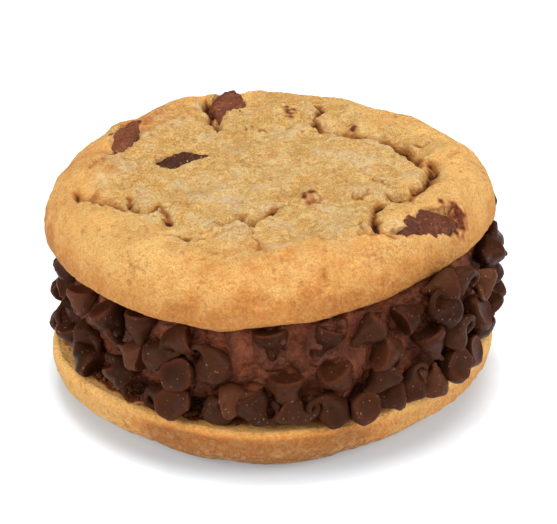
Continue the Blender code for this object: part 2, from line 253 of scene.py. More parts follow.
def speckle(wire, place, scale, low, high, detail=2.0):
    # Noise of one scale, pushed to 0 and 1 between two levels.
    return noise(wire, place, scale, detail).between(low, high)


def marked(wire, name):
    # A mark that the mesh carries on its points.
    return wire.node("Attribute", {}, {"attribute_name": name}, 2)


def paint(look, ground, coats):
    # Coats of colour laid over a ground colour one by one, each as thick as its mask.
    colour = tint(*look[ground])
    for mask, coat in coats:
        colour = mask.blend(colour, coat if isinstance(coat, Wire) else tint(*look[coat]))
    return colour


# The baked cookies.

cookieLook = {
    "pale": (227, 184, 112), "gold": (225, 172, 90), "rim": (234, 179, 104), "crown": (241, 196, 124),
    "toastAndShade": (208, 128, 56), "brown": (150, 84, 34), "fleck": (158, 90, 40), "valleyShade": (186, 126, 56),
    "deep": (98, 48, 18), "groove": (182, 116, 50), "powderAndCrestLight": (232, 208, 168), "stainAndShade": (104, 42, 18),
    "crumb": (250, 222, 158), "rust": (178, 98, 50), "honey": (234, 186, 94),
    "grainScale": 1250, "fineScale": 3000, "reliefHeight": 0.0015, "relief": 1.0,
}


def cookieMaterial(name, look):
    material, shader, wire, place = startMaterial(name, 0.82, 0.28)
    crackShade, stainAndShade, powderAndCrestLight, toastAndShade, centre, shade, rough = (
        marked(wire, mark) for mark in ("crackShade", "stainAndShade", "powderAndCrestLight", "toastAndShade", "centre", "shade", "rough"))
    cloud = speckle(wire, place, 70, 0.35, 0.68, 4.0)
    patch = speckle(wire, place, 190, 0.38, 0.70, 5.0)
    flecks = speckle(wire, place, 420, 0.64, 0.72, 3.0)
    specks = speckle(wire, place, 300, 0.68, 0.73)
    mottle = noise(wire, place, 560, 4.0, 0.6)
    grain = noise(wire, place, look["grainScale"], 6.0, 0.65)
    fine = noise(wire, place, look["fineScale"], 3.0, 0.6)
    crumbs = wire.node("TexVoronoi", {"Vector": place, "Scale": 1300.0, "Randomness": 1.0})
    baked = toastAndShade.between(0.8, 1.9)
    colour = paint(look, "gold", (
        (patch * 0.75, "pale"),
        # The rim and crown colours, lighter than the middle's, are partly the rim's own golden bake and
        # partly painted light on the rim and on the lower cookie's ledge.
        (1 - centre, (cloud * 0.7).blend(tint(*look["rim"]), tint(*look["crown"]))),
        # The toast mark is toasting, and on the lower cookie also painted shade across its front side.
        (toastAndShade * (0.75 + cloud * 0.25), "toastAndShade"),
        (toastAndShade.between(1.0, 2.0), "brown"),
        # The mottle, grain and fine noises also raise the bump, and their coats paint light where they raise
        # it and shade where they sink it: the crumb and honey colours on the raised grain, the valley and
        # toast colours in its hollows.
        (mottle.between(0.48, 0.60) * (0.08 + centre * 0.57), "crumb"),
        ((1 - mottle.between(0.36, 0.46)) * (0.12 + centre * 0.18), "valleyShade"),
        (grain.between(0.46, 0.58) * (0.40 - baked * 0.24), "honey"),
        (fine.between(0.50, 0.62) * (0.13 + centre * 0.42 - baked * 0.09), "crumb"),
        ((1 - fine.between(0.40, 0.49)) * 0.45, "toastAndShade"),
        ((1 - grain.between(0.38, 0.47)) * 0.40, "toastAndShade"),
        (flecks * 0.45, "fleck"),
        (specks * 0.45, "rust"),
        # Floury patches with painted light on the wave crests, then painted shade from the shade mark.
        (powderAndCrestLight * (0.2 + grain.between(0.42, 0.56) * 0.6), "powderAndCrestLight"),
        (shade * (0.25 + cloud * 0.2), "valleyShade"),
        # Painted shade in the cracks, holes, pits and crazing: the groove colour where faint, the deep
        # colour where strong.
        (crackShade.between(0.05, 0.70), "groove"),
        (crackShade.between(0.60, 1.4), "deep"),
        # The stain mark: chocolate stains on the top crust, and painted shadow in the lower cookie's gutter.
        (stainAndShade.between(0.05, 0.5) * (0.45 + grain * 0.5), "rust"),
        (stainAndShade.between(0.40, 0.85) * (0.55 + grain * 0.7), "stainAndShade"),
    ))
    relief = (grain + fine * 0.40 - crumbs * 0.55 + mottle * 0.8) * rough
    return finishMaterial(material, shader, colour, 0.74 + grain * 0.2, relief, look)


topCookie = {
    "centre": (-0.9, 0.0, 33.8), "tilt": (-0.6, -2.1, 0.0),
    "radius": 44.7, "thickness": 11.9, "edgeRound": 8.0, "baseRound": 1.5, "edgeFoot": 2.5,
    "lobes": ((2, 0.009, 21), (3, 0.026, 5), (4, 0.024, 5), (6, 0.005, 0)),
    "around": 680, "baseRings": 8, "roundRings": 6, "edgeRings": 42, "crustRings": 90, "seed": 3,
    "crackShift": 0.9, "holeShift": 0.7, "windowDepth": 2.8, "swell": 0.28, "swellAt": 0.74,
}
bottomCookie = {
    "radius": 45.2, "thickness": 11.2, "edgeRound": 8.0, "baseRound": 1.5, "edgeFoot": 2.5,
    "lobes": ((2, 0.007, 36), (3, 0.012, 2), (4, 0.008, -2), (5, 0.015, -8), (6, 0.009, 17)),
    "around": 680, "baseRings": 54, "roundRings": 7, "edgeRings": 42, "crustRings": 36, "seed": 8,
    "restRadius": 20.0, "drop": 0.5, "ease": 8.0, "gutterShade": (-45, 41), "shadedFront": (-4, 34),
    "toastedRight": (55, 25),
}

# Cracks on the crust's plan in mm: depth, width on the high side, width on the low side, raised lip,
# then the line. The high side is on the left when going along the line.
topCracks = (
    (3, 0.9, 4.4, 0.4, ((34, -2.8), (32.9, -1.2), (31.4, 1.3), (30.1, 3.4), (28.7, 6), (27.8, 8.4),
        (26.4, 10.5), (24.6, 12.2), (22.6, 12.9), (20.5, 13.7), (18.5, 14.8), (16.4, 15.9), (14.4, 17.1),
        (12.3, 17.7), (10.6, 19.8), (9.6, 22.7))),
    (1.2, 0.8, 1, 0.1, ((10.6, 20.7), (10.5, 23.6), (11.8, 26.1), (12.4, 26.9), (11.6, 29.2))),
    (2.6, 0.9, 3, 0.35, ((23.9, -12.4), (25.4, -13.2), (28.6, -14.4), (29.8, -12.6), (31.5, -10.1),
        (33.3, -7.5), (34.1, -3.1), (34.4, 0.1), (34.2, 3.3))),
    (0.8, 0.6, 0.9, 0.1, ((17.5, -10.9), (18.5, -13.2), (19.6, -13.7), (20.7, -12), (21.5, -10.3))),
    (0.8, 0.6, 0.9, 0.1, ((21.9, -4.6), (23.6, -6.9), (24.8, -8), (25.5, -10.4))),
    (1.7, 0.8, 1.6, 0.2, ((21.8, -28.6), (22.1, -26.7), (21.6, -23.8), (21.5, -20.5), (22.5, -17.8),
        (23.9, -16.2))),
    (0.9, 0.7, 1.2, 0.1, ((17.9, -29.6), (21, -29), (23, -28.5), (24.9, -28.4), (27, -28.9))),
    (0.8, 0.7, 1, 0.1, ((20.2, -29.1), (19.3, -27.4), (19.2, -24.3))),
    (0.8, 0.6, 1.2, 0.1, ((26.6, 12.6), (30, 10.7), (32, 9.6), (33.4, 10), (35.3, 10.6))),
    (0.6, 0.6, 0.9, 0.1, ((38, 3.8), (40.4, 5.2), (42.6, 5.6))),
    (0.5, 0.6, 0.8, 0.05, ((37.5, 0.7), (39.7, 0.8), (41.8, 0.9))),
    (1.9, 0.8, 3.6, 0.3, ((-21, -14.4), (-21.9, -17.2), (-23, -18.6), (-25, -17.7), (-26.7, -16.8),
        (-28.3, -15.5), (-30.4, -14.5), (-32.4, -12.9), (-34.5, -11.7), (-36.8, -10.3), (-38, -7.8),
        (-39.6, -4.6))),
    (1.2, 0.7, 1.1, 0.1, ((-26.1, -16.8), (-25.9, -15.4), (-26.7, -12.2), (-27.7, -8.6))),
    (1.1, 0.7, 1.1, 0.1, ((-17.5, -22.9), (-18.6, -21.3), (-19.1, -19), (-19.9, -16.7), (-21, -14.4))),
    (0.6, 0.6, 1, 0.1, ((-14, -15.8), (-15.6, -14.7), (-17.7, -12.9))),
    (1, 0.8, 2, 0.2, ((-4.6, -26), (-7.8, -27.6), (-10.5, -29), (-12.8, -30.2), (-14.8, -29.3),
        (-17.2, -28.3), (-19.8, -27.5))),
    (2.1, 0.8, 3.4, 0.25, ((6.5, -15.3), (4.1, -16.9), (2.5, -19), (1.5, -20.7), (0.5, -21.9),
        (-1.2, -23.1), (-2.2, -24.7), (-3.2, -23.8), (-4.4, -21.5), (-5.4, -22.8), (-7.3, -23.5),
        (-10.4, -22.8))),
    (0.6, 0.6, 0.8, 0.05, ((-1.9, -28.8), (-2.4, -26.1), (-2.2, -24.7))),
    (1, 0.7, 1.6, 0.1, ((-0.3, -36), (-1.3, -31.8), (-2.2, -30))),
    (2.2, 0.9, 1.4, 0.15, ((-12.3, 36), (-11.8, 31.5), (-11.4, 28), (-10.6, 24.3), (-9.7, 21),
        (-9.2, 17.9))),
    (0.8, 0.8, 1.3, 0.15, ((-35.8, 2.3), (-34.5, 5.2), (-33.1, 6.5), (-31.9, 8))),
    (0.6, 0.5, 0.6, 0.05, ((11.8, -39.6), (12.2, -41.2), (12.5, -42.3), (12.9, -43.4))),
    (0.6, 0.5, 0.6, 0.05, ((-26, -33), (-25.6, -35.4), (-26.1, -37.6))),
    (0.5, 0.5, 0.6, 0.05, ((-10.2, -34), (-8.6, -35.2), (-7.4, -35))),
    (0.4, 0.4, 0.5, 0.05, ((16, -35), (18.2, -35.8), (20.4, -35), (22, -35.6))),
    (0.4, 0.4, 0.5, 0.05, ((3, -39), (5.2, -39.6), (7.6, -39.2))),
)
bottomCracks = (
    (1.3, 0.8, 3, 0, ((-27, 8), (-22, 19), (-12, 26), (2, 28), (11, 25))),
    (1.2, 0.8, 2.8, 0, ((26, 12), (29, 0), (25, -14), (16, -23))),
    (1.1, 0.8, 2.6, 0, ((5, -28), (-9, -27), (-20, -20), (-27, -9))),
    (0.9, 0.8, 1.6, 0, ((11, 25), (17, 33))),
    (0.9, 0.8, 1.6, 0, ((-27, -9), (-37, -12))),
)

# Holes along the cracks, sunk and painted dark as shade: place, spread and depth.
topHoles = (
    (10.9, 20.8, 1.1, 1), (12.2, 26.9, 0.8, 0.7), (11.6, 29.2, 0.9, 0.7), (18.6, 15.9, 0.9, 0.5),
    (20.6, 14.8, 1.1, 0.7), (25.4, 12.2, 1, 0.7), (27.6, 9.8, 1, 0.7), (31.8, 2.9, 1, 0.5),
    (34.3, 1.6, 0.8, 1), (34.1, -2.4, 1, 1), (33.2, -7.6, 1.2, 0.9), (30.6, -11.6, 1.1, 0.6),
    (23.2, -16.9, 0.9, 0.7), (22, -25, 0.8, 0.9), (22.1, -26.9, 0.8, 1), (-25.9, -15.9, 0.9, 1),
    (-26.9, -12.4, 0.7, 0.8), (-20.8, -15.2, 0.9, 0.8), (-18.6, -21.3, 0.7, 0.7), (-19.2, -18.8, 0.6, 0.5),
    (-14.9, -29.2, 0.9, 0.7), (-3, -24, 0.9, 0.7), (2.2, -19.4, 0.8, 0.6), (-12, 32.2, 1.1, 1),
    (-11.6, 29.2, 1.1, 1), (14.2, 17.2, 1, 0.5), (16.4, 16.2, 1.2, 0.7), (22.8, 13.4, 1.1, 0.6),
    (29, 6.4, 1.1, 0.6), (17.2, 18, 0.9, 0.5), (-9.8, 22, 0.9, 1), (-9.4, 19.6, 0.7, 0.7),
    (-3.6, 18.9, 0.7, 0.5), (-2.4, 20.5, 0.7, 0.4), (0.2, 18.7, 0.8, 0.5), (32, 9.8, 0.6, 0.4),
    (18.6, -13.3, 0.5, 0.5), (25.6, -10.4, 0.5, 0.5), (-38.2, -7.8, 0.7, 0.2), (-36.6, -10.2, 0.7, 0.3),
)

# Where the big chips show through the crust: outline on the plan, and how ragged its edge is.
topWindows = {
    "chunk_right": (((25.2, -26.9), (27, -25.5), (28.8, -24.3), (27.6, -23), (28.7, -21.8), (30.3, -21),
        (30.9, -19.9), (31.4, -17.8), (33.2, -17), (35, -16.6), (37, -15.6), (38.7, -15.4), (39.9, -16.3),
        (39.8, -17.8), (38.7, -19.4), (37.4, -20.8), (35.5, -22), (33.7, -23.4), (32.1, -24.5),
        (30.2, -25.8), (28.2, -27.1), (26.7, -27.5), (24.8, -27.6)), 0.15),
    "chunk_left": (((-22.5, 7.6), (-20.6, 8.2), (-18, 9.5), (-14.6, 10.2), (-12.2, 10.2), (-8.8, 9.8),
        (-11.6, 7.8), (-13.8, 5.5), (-15.6, 4.3), (-17.8, 2.6), (-19.2, 1.9), (-20.6, 3.2),
        (-21.6, 5.4)), 0.1),
    "chunk_back": (((-10.4, 38.5), (-8.5, 42), (-1.4, 43), (-1.6, 40.4), (-4.8, 38), (-6.4, 35.8),
        (-7, 33), (-7.6, 30.4), (-8.4, 27), (-9.4, 22.4), (-10, 24.6), (-10.6, 27.4), (-11.2, 31),
        (-11, 35.2)), 0.2),
    "chunk_back_left": (((-29.6, 25.6), (-28, 24.8), (-26.3, 21.7), (-25.6, 19.2), (-25.8, 16.8),
        (-27.1, 14.2), (-28.6, 11.5), (-30, 9.6), (-31.7, 8.2), (-31.9, 10.6), (-31.5, 13.2), (-31.3, 16),
        (-30.9, 19), (-30.6, 23)), 0.25),
}

# Marks on the crust: place, spread and strength of chocolate stains, dents, floury patches, toasted patches,
# and painted shade in the dents.
topStains = (
    (4.6, 28.6, 0.9, 1.1), (5.5, 26.6, 1, 1.3), (5.5, 24.6, 0.9, 0.9), (6.4, 27.4, 0.8, 0.8),
    (7.9, -12.6, 0.8, 1.2), (8.8, -11.2, 0.8, 1.5), (9.9, -10.4, 0.8, 1.4), (10.9, -13.4, 1.5, 0.6),
    (9.4, -14.6, 1.3, 0.5), (-4, 2.3, 0.5, 1), (-3.4, 1.2, 0.5, 1), (-2.8, 2.3, 0.5, 0.8),
    (37.6, -15.2, 1, 0.5), (39.3, -15.6, 1.3, 1.1), (39.9, -17.2, 1.4, 1.5), (39, -18.8, 1.4, 1.5),
    (38.2, -20.4, 1.1, 0.9), (41, -18.4, 1.2, 0.3), (40.7, -21.6, 1.2, 0.3), (35.4, -14.8, 0.7, 0.6),
    (18.8, 20.2, 0.9, 1.5), (11.2, 20.6, 1.2, 0.8), (19.2, 16.9, 1.3, 0.7), (21, 14.4, 1.3, 0.7),
    (26.2, 10.9, 1.4, 0.6), (34, -0.6, 1.2, 0.4), (33.2, -7.2, 1.3, 0.4), (15.5, 24.3, 0.8, 0.3),
    (23.7, -6, 0.7, 0.3), (35.9, -15.2, 0.8, 0.4), (-14.7, 16.4, 0.9, 0.5), (-14.1, 29.1, 0.7, 0.5),
    (-25, 23.6, 1, 0.6), (-24.6, 26.1, 1.1, 0.5), (-31.9, 19.3, 0.9, 0.8), (-34, -9.4, 1.2, 0.35),
    (-31.6, -10.6, 1, 0.4), (-40.4, -9, 0.7, 0.5), (-28.4, -26.9, 0.8, 0.35), (-17.5, -13.7, 0.8, 0.35),
    (21.8, -33.7, 2, 0.3), (1.6, -36.4, 1.8, 0.28), (27.5, 22, 1.3, 0.3), (-8.4, 33, 0.8, 0.5),
)
topDents = (
    (9, -12, 2.2, -0.5), (7.8, -26, 2.4, 0.9), (20.6, -5.7, 2, 0.5), (3.5, -33.9, 1.2, 0.5),
    (-32.6, 12.4, 3, 1), (5.9, -9.1, 1.8, 0.6), (-5.2, 10.9, 3, 0.5), (-16.6, -8.9, 3, 0.4),
    (35.5, -14.4, 3, 0.9), (7.4, -20.2, 3, -0.4), (-14.5, 12.4, 3, 0.5),
)
topPowder = (
    (-16, -5.2, 2.6, 0.6), (-8.6, -9.4, 4.6, 0.8), (3.5, -33.9, 1.6, 1), (14.9, -23.2, 3.6, 0.6),
    (26, -25.4, 2, 0.8), (-3.5, -15.1, 3.4, 0.5), (14.4, -16.4, 3, 0.4), (16.1, -32.1, 2.4, 0.5),
    (-4.9, -28.6, 2.4, 0.4), (-24.6, 5.8, 1.6, 0.6), (22, 6, 6, 0.3), (2, 2, 7, 0.25),
)
topToast = (
    (21.8, -33.7, 5, 0.55), (1.6, -37.4, 7, 0.8), (-24, 27, 9, 1.3), (-29.5, 3.5, 4.5, 0.8),
    (4, 40, 9, 0.5), (-42, -8, 8, 0.6), (-33.6, -8.8, 2.2, 1), (-30.8, -10, 1.8, 0.9), (-12, -41, 8, 0.6),
    (14, -41, 8, 0.7), (33, -30, 5, 0.4), (30, 26, 5, 0.3), (-37, 9, 7, 0.8), (-8, 27, 3, 0.4),
    (12, -30.5, 3, 0.3),
)
topShades = (
    (-5.2, 10.9, 3, 0.8), (7.8, -26, 2.6, 0.9), (5.9, -9.1, 2.2, 0.8), (-16.6, -8.9, 3.2, 0.6),
    (35.8, -14.6, 2.6, 0.8), (-0.7, -33.6, 1.8, 0.9), (-33.5, 10.5, 2.4, 0.8), (18, -8, 3, 0.4),
)


def spots(x, y, places):
    # The sum of strength * exp(-(distance / spread)^2) over the places.
    return sum(strength * np.exp(-((x - px) ** 2 + (y - py) ** 2) / spread ** 2)
               for px, py, spread, strength in places)


def crackRelief(x, y, cracks, seed):
    # Each crack drops by depth * exp(-(d / width)^2), narrow on its high side and wide on its low side,
    # and fades towards its ends. Its line wavers, and its high side has a lip. Gives height and a mark of
    # painted shade, darker where the crack is deeper and spread wider on its low side.
    plan = np.stack([x, y], axis=-1)
    wx = x + 0.28 * ripples(plan, 5.0, seed) + 0.12 * ripples(plan, 2.4, seed + 1)
    wy = y + 0.28 * ripples(plan, 5.0, seed + 2) + 0.12 * ripples(plan, 2.4, seed + 3)
    patchy = np.clip(0.95 + 0.18 * ripples(plan, 5.5, seed + 4), 0.5, 1.3)
    height = np.zeros(x.shape)
    mark = np.zeros(x.shape)
    for depth, highWidth, lowWidth, lip, path in cracks:
        distance, side, share = alongPath(wx, wy, path)
        fade = smooth(0, 0.14, share) * smooth(0, 0.14, 1 - share)
        high = side > 0
        narrow = bell(distance, highWidth)
        wide = bell(distance, lowWidth)
        drop = np.where(high, narrow, 0.65 * wide + 0.35 * bell(distance, 0.9))
        height -= depth * fade * patchy * drop
        height += lip * fade * np.where(high, bell(distance - 1.9, 1.6), 0)
        thin = bell(distance, np.where(high, 0.45, 0.7))
        band = bell(distance, 0.62 * lowWidth)
        dark = np.where(high, 0, 0.62 * band * min(depth, 2) / 2) + min(depth, 1.9) * 0.50 * thin * patchy
        mark = np.maximum(mark, fade * dark)
    return height, mark


def cookieRings(spec):
    # Rings of a cookie from the middle of its base to the middle of its crust: r = reach * m - d, and z.
    share = 1 - (1 - np.linspace(0, 1, spec["baseRings"] + 1)[1:]) ** 1.6
    turn = np.linspace(0, np.pi / 2, spec["roundRings"] + 1)[1:]
    arc = np.linspace(0, np.pi / 2, spec["edgeRings"] + 1)[1:]
    inward = np.linspace(1, 0, spec["crustRings"] + 1)[1:-1]
    small, tall, foot = spec["baseRound"], spec["edgeRound"], spec["edgeFoot"]
    m = np.concatenate([share, np.ones(len(turn) + len(arc)), inward])
    d = np.concatenate([small * share, small * (1 - np.sin(turn)), tall * (1 - np.cos(arc)), tall * inward])
    z = np.concatenate([0 * share, small * (1 - np.cos(turn)),
                        foot + (spec["thickness"] - foot) * np.sin(arc), 0 * inward + spec["thickness"]])
    angle = np.linspace(0, 2 * np.pi, spec["around"], endpoint=False)
    reach = lobed(spec["radius"], spec["lobes"], angle)
    r = reach[None] * m[:, None] - d[:, None]
    grid = np.stack([r * np.cos(angle), r * np.sin(angle), np.broadcast_to(z[:, None], r.shape)], axis=-1)
    crust = np.broadcast_to(smooth(small, spec["thickness"] - 0.6, z)[:, None], r.shape)
    return grid, crust, np.broadcast_to(angle, r.shape)


def doughTexture(grid, crust, seed):
    # Dough: broad lumps everywhere, crumbly bumps and hairline crazing on the crust, and small pits.
    x, y = grid[..., 0], grid[..., 1]
    lumps = 0.22 * ripples(grid, 15, seed) + 0.13 * ripples(grid, 6.5, seed + 1)
    grains = 0.065 * ripples(grid, 2.8, seed + 2) + 0.050 * ripples(grid, 1.5, seed + 3, 40)
    plan = np.stack([x, y], axis=-1)
    wx = x + 0.5 * ripples(plan, 4.0, seed + 4)
    wy = y + 0.5 * ripples(plan, 4.0, seed + 5)
    first, second, luck = cellDistances(wx, wy, 3.6, seed)
    crazing = bell(second - first, 0.32) * (luck > 0.62)
    crazing = crazing * smooth(0.2, 1.0, ripples(plan, 7.0, seed + 6)) * crust
    pit, _, pitLuck = cellDistances(x, y, 2.0, seed + 9)
    pits = bell(pit, 0.45) * (pitLuck > 0.70) * smooth(-0.4, 0.6, ripples(plan, 9.0, seed + 7))
    crumb, _, crumbLuck = cellDistances(wx, wy, 1.6, seed + 4)
    crumbly = 0.38 * (0.5 - crumb / 1.6) * (crumbLuck > 0.3) * crust
    return lumps, grains, crazing, pits, crumbly


def topTurn():
    return Euler([math.radians(angle) for angle in topCookie["tilt"]]).to_matrix()


def makeTopCookie(spec, material):
    grid, crust, angle = cookieRings(spec)
    x, y, z = np.moveaxis(grid, -1, 0)
    share = np.hypot(x, y) / spec["radius"]
    centre = 1 - smooth(0.60, 0.92, share + 0.05 * ripples(grid, 9, 51))
    lumps, grains, crazing, pits, crumbly = doughTexture(grid, crust, spec["seed"])
    crackHeight, crackMark = crackRelief(x, y - spec["crackShift"], topCracks, 21)
    wx = x + 0.35 * ripples(grid, 2.4, 55)
    wy = y + 0.35 * ripples(grid, 2.4, 56)
    dip = np.zeros(x.shape)
    holes = np.clip(1.6 * spots(wx, wy - spec["holeShift"], topHoles), 0, 1.2) * crust
    height = -crust * spots(x, y, topDents) - 1.0 * holes
    height += crust * spec["swell"] * bell(share - spec["swellAt"], 0.12) - 0.15
    waves = ripples(grid, 7.5, 57) + 0.5 * ripples(grid, 4.2, 58)
    height += 0.13 * waves * crust * (0.3 + 0.7 * centre)
    height += lumps * (0.35 + 0.65 * crust) + grains * (0.5 + 0.5 * centre)
    height -= 0.10 * crazing * (1 - centre) + 0.22 * pits * crust
    height += crumbly * (0.35 + 0.65 * centre)
    halo = np.zeros(x.shape)
    for number, (outline, ragged) in enumerate(topWindows.values()):
        plan = np.stack([x, y], axis=-1)
        wobble = ragged * (0.6 * ripples(plan, 2.6, 60 + number) + 0.4 * ripples(plan, 1.6, 70 + number))
        inside = np.where(z > 6, insideOutline(x, y, outline) + wobble, -9)
        dip = np.maximum(dip, spec["windowDepth"] * smooth(-0.3, 0.9, inside))
        height += 0.25 * bell(inside + 1.1, 0.9) * crust
        halo = np.maximum(halo, bell(inside - 0.2, 0.4) * crust)
    height += crust * np.minimum(crackHeight, -dip)
    grid = grid + gridNormals(grid) * height[..., None]
    sag = bell(np.degrees(angle) - 258, 7) * bell(z, 3.5) * smooth(0.9, 1, share)
    grid[..., 2] -= 0.8 * sag
    stainAndShade = spots(x, y, topStains) * (0.75 + 0.35 * ripples(grid, 1.6, 81))
    powderAndCrestLight = spots(x, y, topPowder) * (0.7 + 0.5 * ripples(grid, 2.5, 82))
    toastAndShade = smooth(0.22, 0.85, 1 - z / spec["thickness"] + 0.10 * ripples(grid, 8, 83)) * (1.06 - 0.003 * x)
    toastAndShade = toastAndShade + spots(x, y, topToast) * (0.8 + 0.3 * ripples(grid, 4, 84))
    marks = {
        # The crack mark paints shade into the cracks, the holes, the crazing lines and the pits.
        "crackShade": crust * (crackMark + 1.1 * holes + 0.35 * crazing * (1 - centre) + 0.35 * pits),
        # The shade mark is painted shade, in the dents listed in topShades and in the troughs of the crust's
        # waves. The powder mark is floury patches plus painted light on the wave crests in the middle.
        "shade": np.clip(spots(x, y, topShades) + 0.60 * smooth(0.3, 1.8, -waves), 0, 1) * crust,
        "stainAndShade": np.maximum(stainAndShade, halo * 0.30) * crust,
        "powderAndCrestLight": np.clip(powderAndCrestLight + 0.55 * smooth(0.3, 1.8, waves) * centre, 0, 1) * crust,
        "toastAndShade": np.clip(toastAndShade, 0, 1.35),
        "centre": centre * crust,
        "rough": 0.65 + 0.35 * centre,
    }
    turn = np.array(topTurn())
    place = lambda points: points @ turn.T + np.array(spec["centre"])
    middle = np.array([0, 0, grid[-1, :, 2].mean()])
    return makeClosedGrid("topCookie", place(grid), place(np.zeros(3)), place(middle), marks, material,
                          ["top_cookie"])


def makeBottomCookie(spec, material):
    grid, crust, angle = cookieRings(spec)
    x, y, z = np.moveaxis(grid, -1, 0)
    distance = np.hypot(x, y)
    lumps, grains, crazing, pits, crumbly = doughTexture(grid, crust, spec["seed"])
    crackHeight, crackMark = crackRelief(x, y, bottomCracks, 31)
    ledge = 1 - smooth(0.2, 2.5, z)
    azimuth = np.degrees(np.arctan2(x, -y))
    gutterShade, front, right = (bell(azimuth - spec[sector][0], spec[sector][1], 4)
                            for sector in ("gutterShade", "shadedFront", "toastedRight"))
    gutterShade = 0.05 + 0.95 * gutterShade
    front = front * smooth(-1.0, 3.2, z)
    relief = crackHeight * crust + lumps * (0.3 + 0.3 * crust) + 0.5 * grains - 0.1 * crazing - 0.05 * pits
    relief += 0.2 * crumbly
    flat = distance < spec["restRadius"]
    under = crust > 0.6
    drop = spec["drop"] * smooth(0, spec["ease"], distance - spec["restRadius"])
    relief = np.where(under, np.where(flat, np.minimum(0.3 * grains - 0.05 - 0.1 * pits, 0),
                                      np.minimum(relief, 0) - drop), relief)
    relief = np.where(z < 0.01, -0.12 + 0.5 * np.minimum(grains, 0) - 0.15 * pits, relief)
    grid = grid + gridNormals(grid) * relief[..., None]
    marks = {
        # On the ledge the crack and stain marks paint a dark shadow into the gutter between the chips and
        # the ledge's golden edge, mostly at the front left.
        "crackShade": crust * (crackMark + 0.4 * crazing + 0.5 * pits)
                 + 1.3 * ledge * gutterShade * (1 - smooth(41.2, 42.6, distance + 0.6 * ripples(grid, 3, 94))),
        "stainAndShade": ledge * (1 - smooth(42.0, 43.4, distance + 0.6 * ripples(grid, 4, 92))) * gutterShade,
        "powderAndCrestLight": np.zeros(x.shape),
        "shade": np.zeros(x.shape),
        # The toast mark: the lower cookie's toasting, plus painted shade that browns its side across the
        # front; it is also browner on the right side and on the ledge's inner part next to the ice cream.
        "toastAndShade": smooth(0.2, 1.0, 0.4 + 0.22 * ripples(grid, 22, 93)) * 0.25 * (1 - ledge) + 2.7 * front
                 + 0.7 * right * smooth(0.5, 4, z)
                 + 1.5 * ledge * (1 - smooth(39.8, 42.4, distance + 0.5 * ripples(grid, 5, 95))),
        "centre": 0.5 * crust,
        "rough": 0.65 - 0.45 * ledge,
    }
    grid[..., 2] = spec["thickness"] - grid[..., 2]
    grid = grid[:, ::-1]
    marks = {mark: values[:, ::-1] for mark, values in marks.items()}
    middle = np.array([0, 0, grid[-1, :, 2].mean()])
    ledgeMiddle = np.array([0, 0, spec["thickness"]])
    return makeClosedGrid("bottomCookie", grid, ledgeMiddle, middle, marks, material,
                          ["bottom_cookie"])


# The big chips baked into the crusts. Each: half sizes in mm, the way its blunt end points in degrees, its
# upward direction, how far its faces ripple, a seed, its nudge from its solid's middle, and how far painted
# shade darkens it.
bigChips = {
    "chunk_right": ((8, 4.4, 3), 27, (0.46, -0.44, 1), 0.06, 41, (1, -2.2, -1.5), 0.5),
    "chunk_left": ((7.4, 4.2, 2.6), 14, (-0.04, 0.01, 1), 0.12, 42, (0.6, -1.6, -0.2), 1),
    "chunk_back": ((7.2, 4.4, 3.4), 92, (-0.04, 0.01, 1), 0.06, 43, (1.7, 0.3, -0.6), 0),
    "chunk_back_left": ((7.8, 3.3, 3), 76, (-0.1, 0.03, 1), 0.08, 44, (1, 0.3, 0.1), 0.1),
    "chunk_under_front": ((6, 4.6, 3), 20, (0, 0, 1), 0.1, 45, (0, 0, 0), 0.2),
    "chunk_under_left": ((5.4, 4, 2.8), 70, (0, 0, 1), 0.1, 46, (0, 0, 0), 0.2),
}
bigChipLook = {
    "sides": 90, "rings": 56, "narrow": 0.22, "body": (96, 52, 34), "dark": (60, 30, 18),
    "lit": (124, 70, 46), "rusty": (142, 74, 44), "dust": (214, 166, 106),
    "reliefHeight": 0.00050, "relief": 0.8,
}


def bigChipMaterial(look):
    material, shader, wire, place = startMaterial("bakedChocolate", 0.45, 0.15)
    cloud = speckle(wire, place, 260, 0.35, 0.7, 4.0)
    fine = noise(wire, place, 1500, 5.0, 0.6)
    colour = paint(look, "body", (
        (cloud, "lit"),
        # Painted shade: the chips sunk in the crust are darkened by their tone mark.
        (marked(wire, "toneAndShading"), "dark"),
        (fine.between(0.48, 0.62) * 0.45, "dark"),
        ((1 - fine.between(0.36, 0.46)) * 0.6, "rusty"),
        (speckle(wire, place, 1150, 0.66, 0.74) * 0.55, "dust"),
    ))
    return finishMaterial(material, shader, colour, 0.40 + fine * 0.3, fine + cloud * 0.3, look)


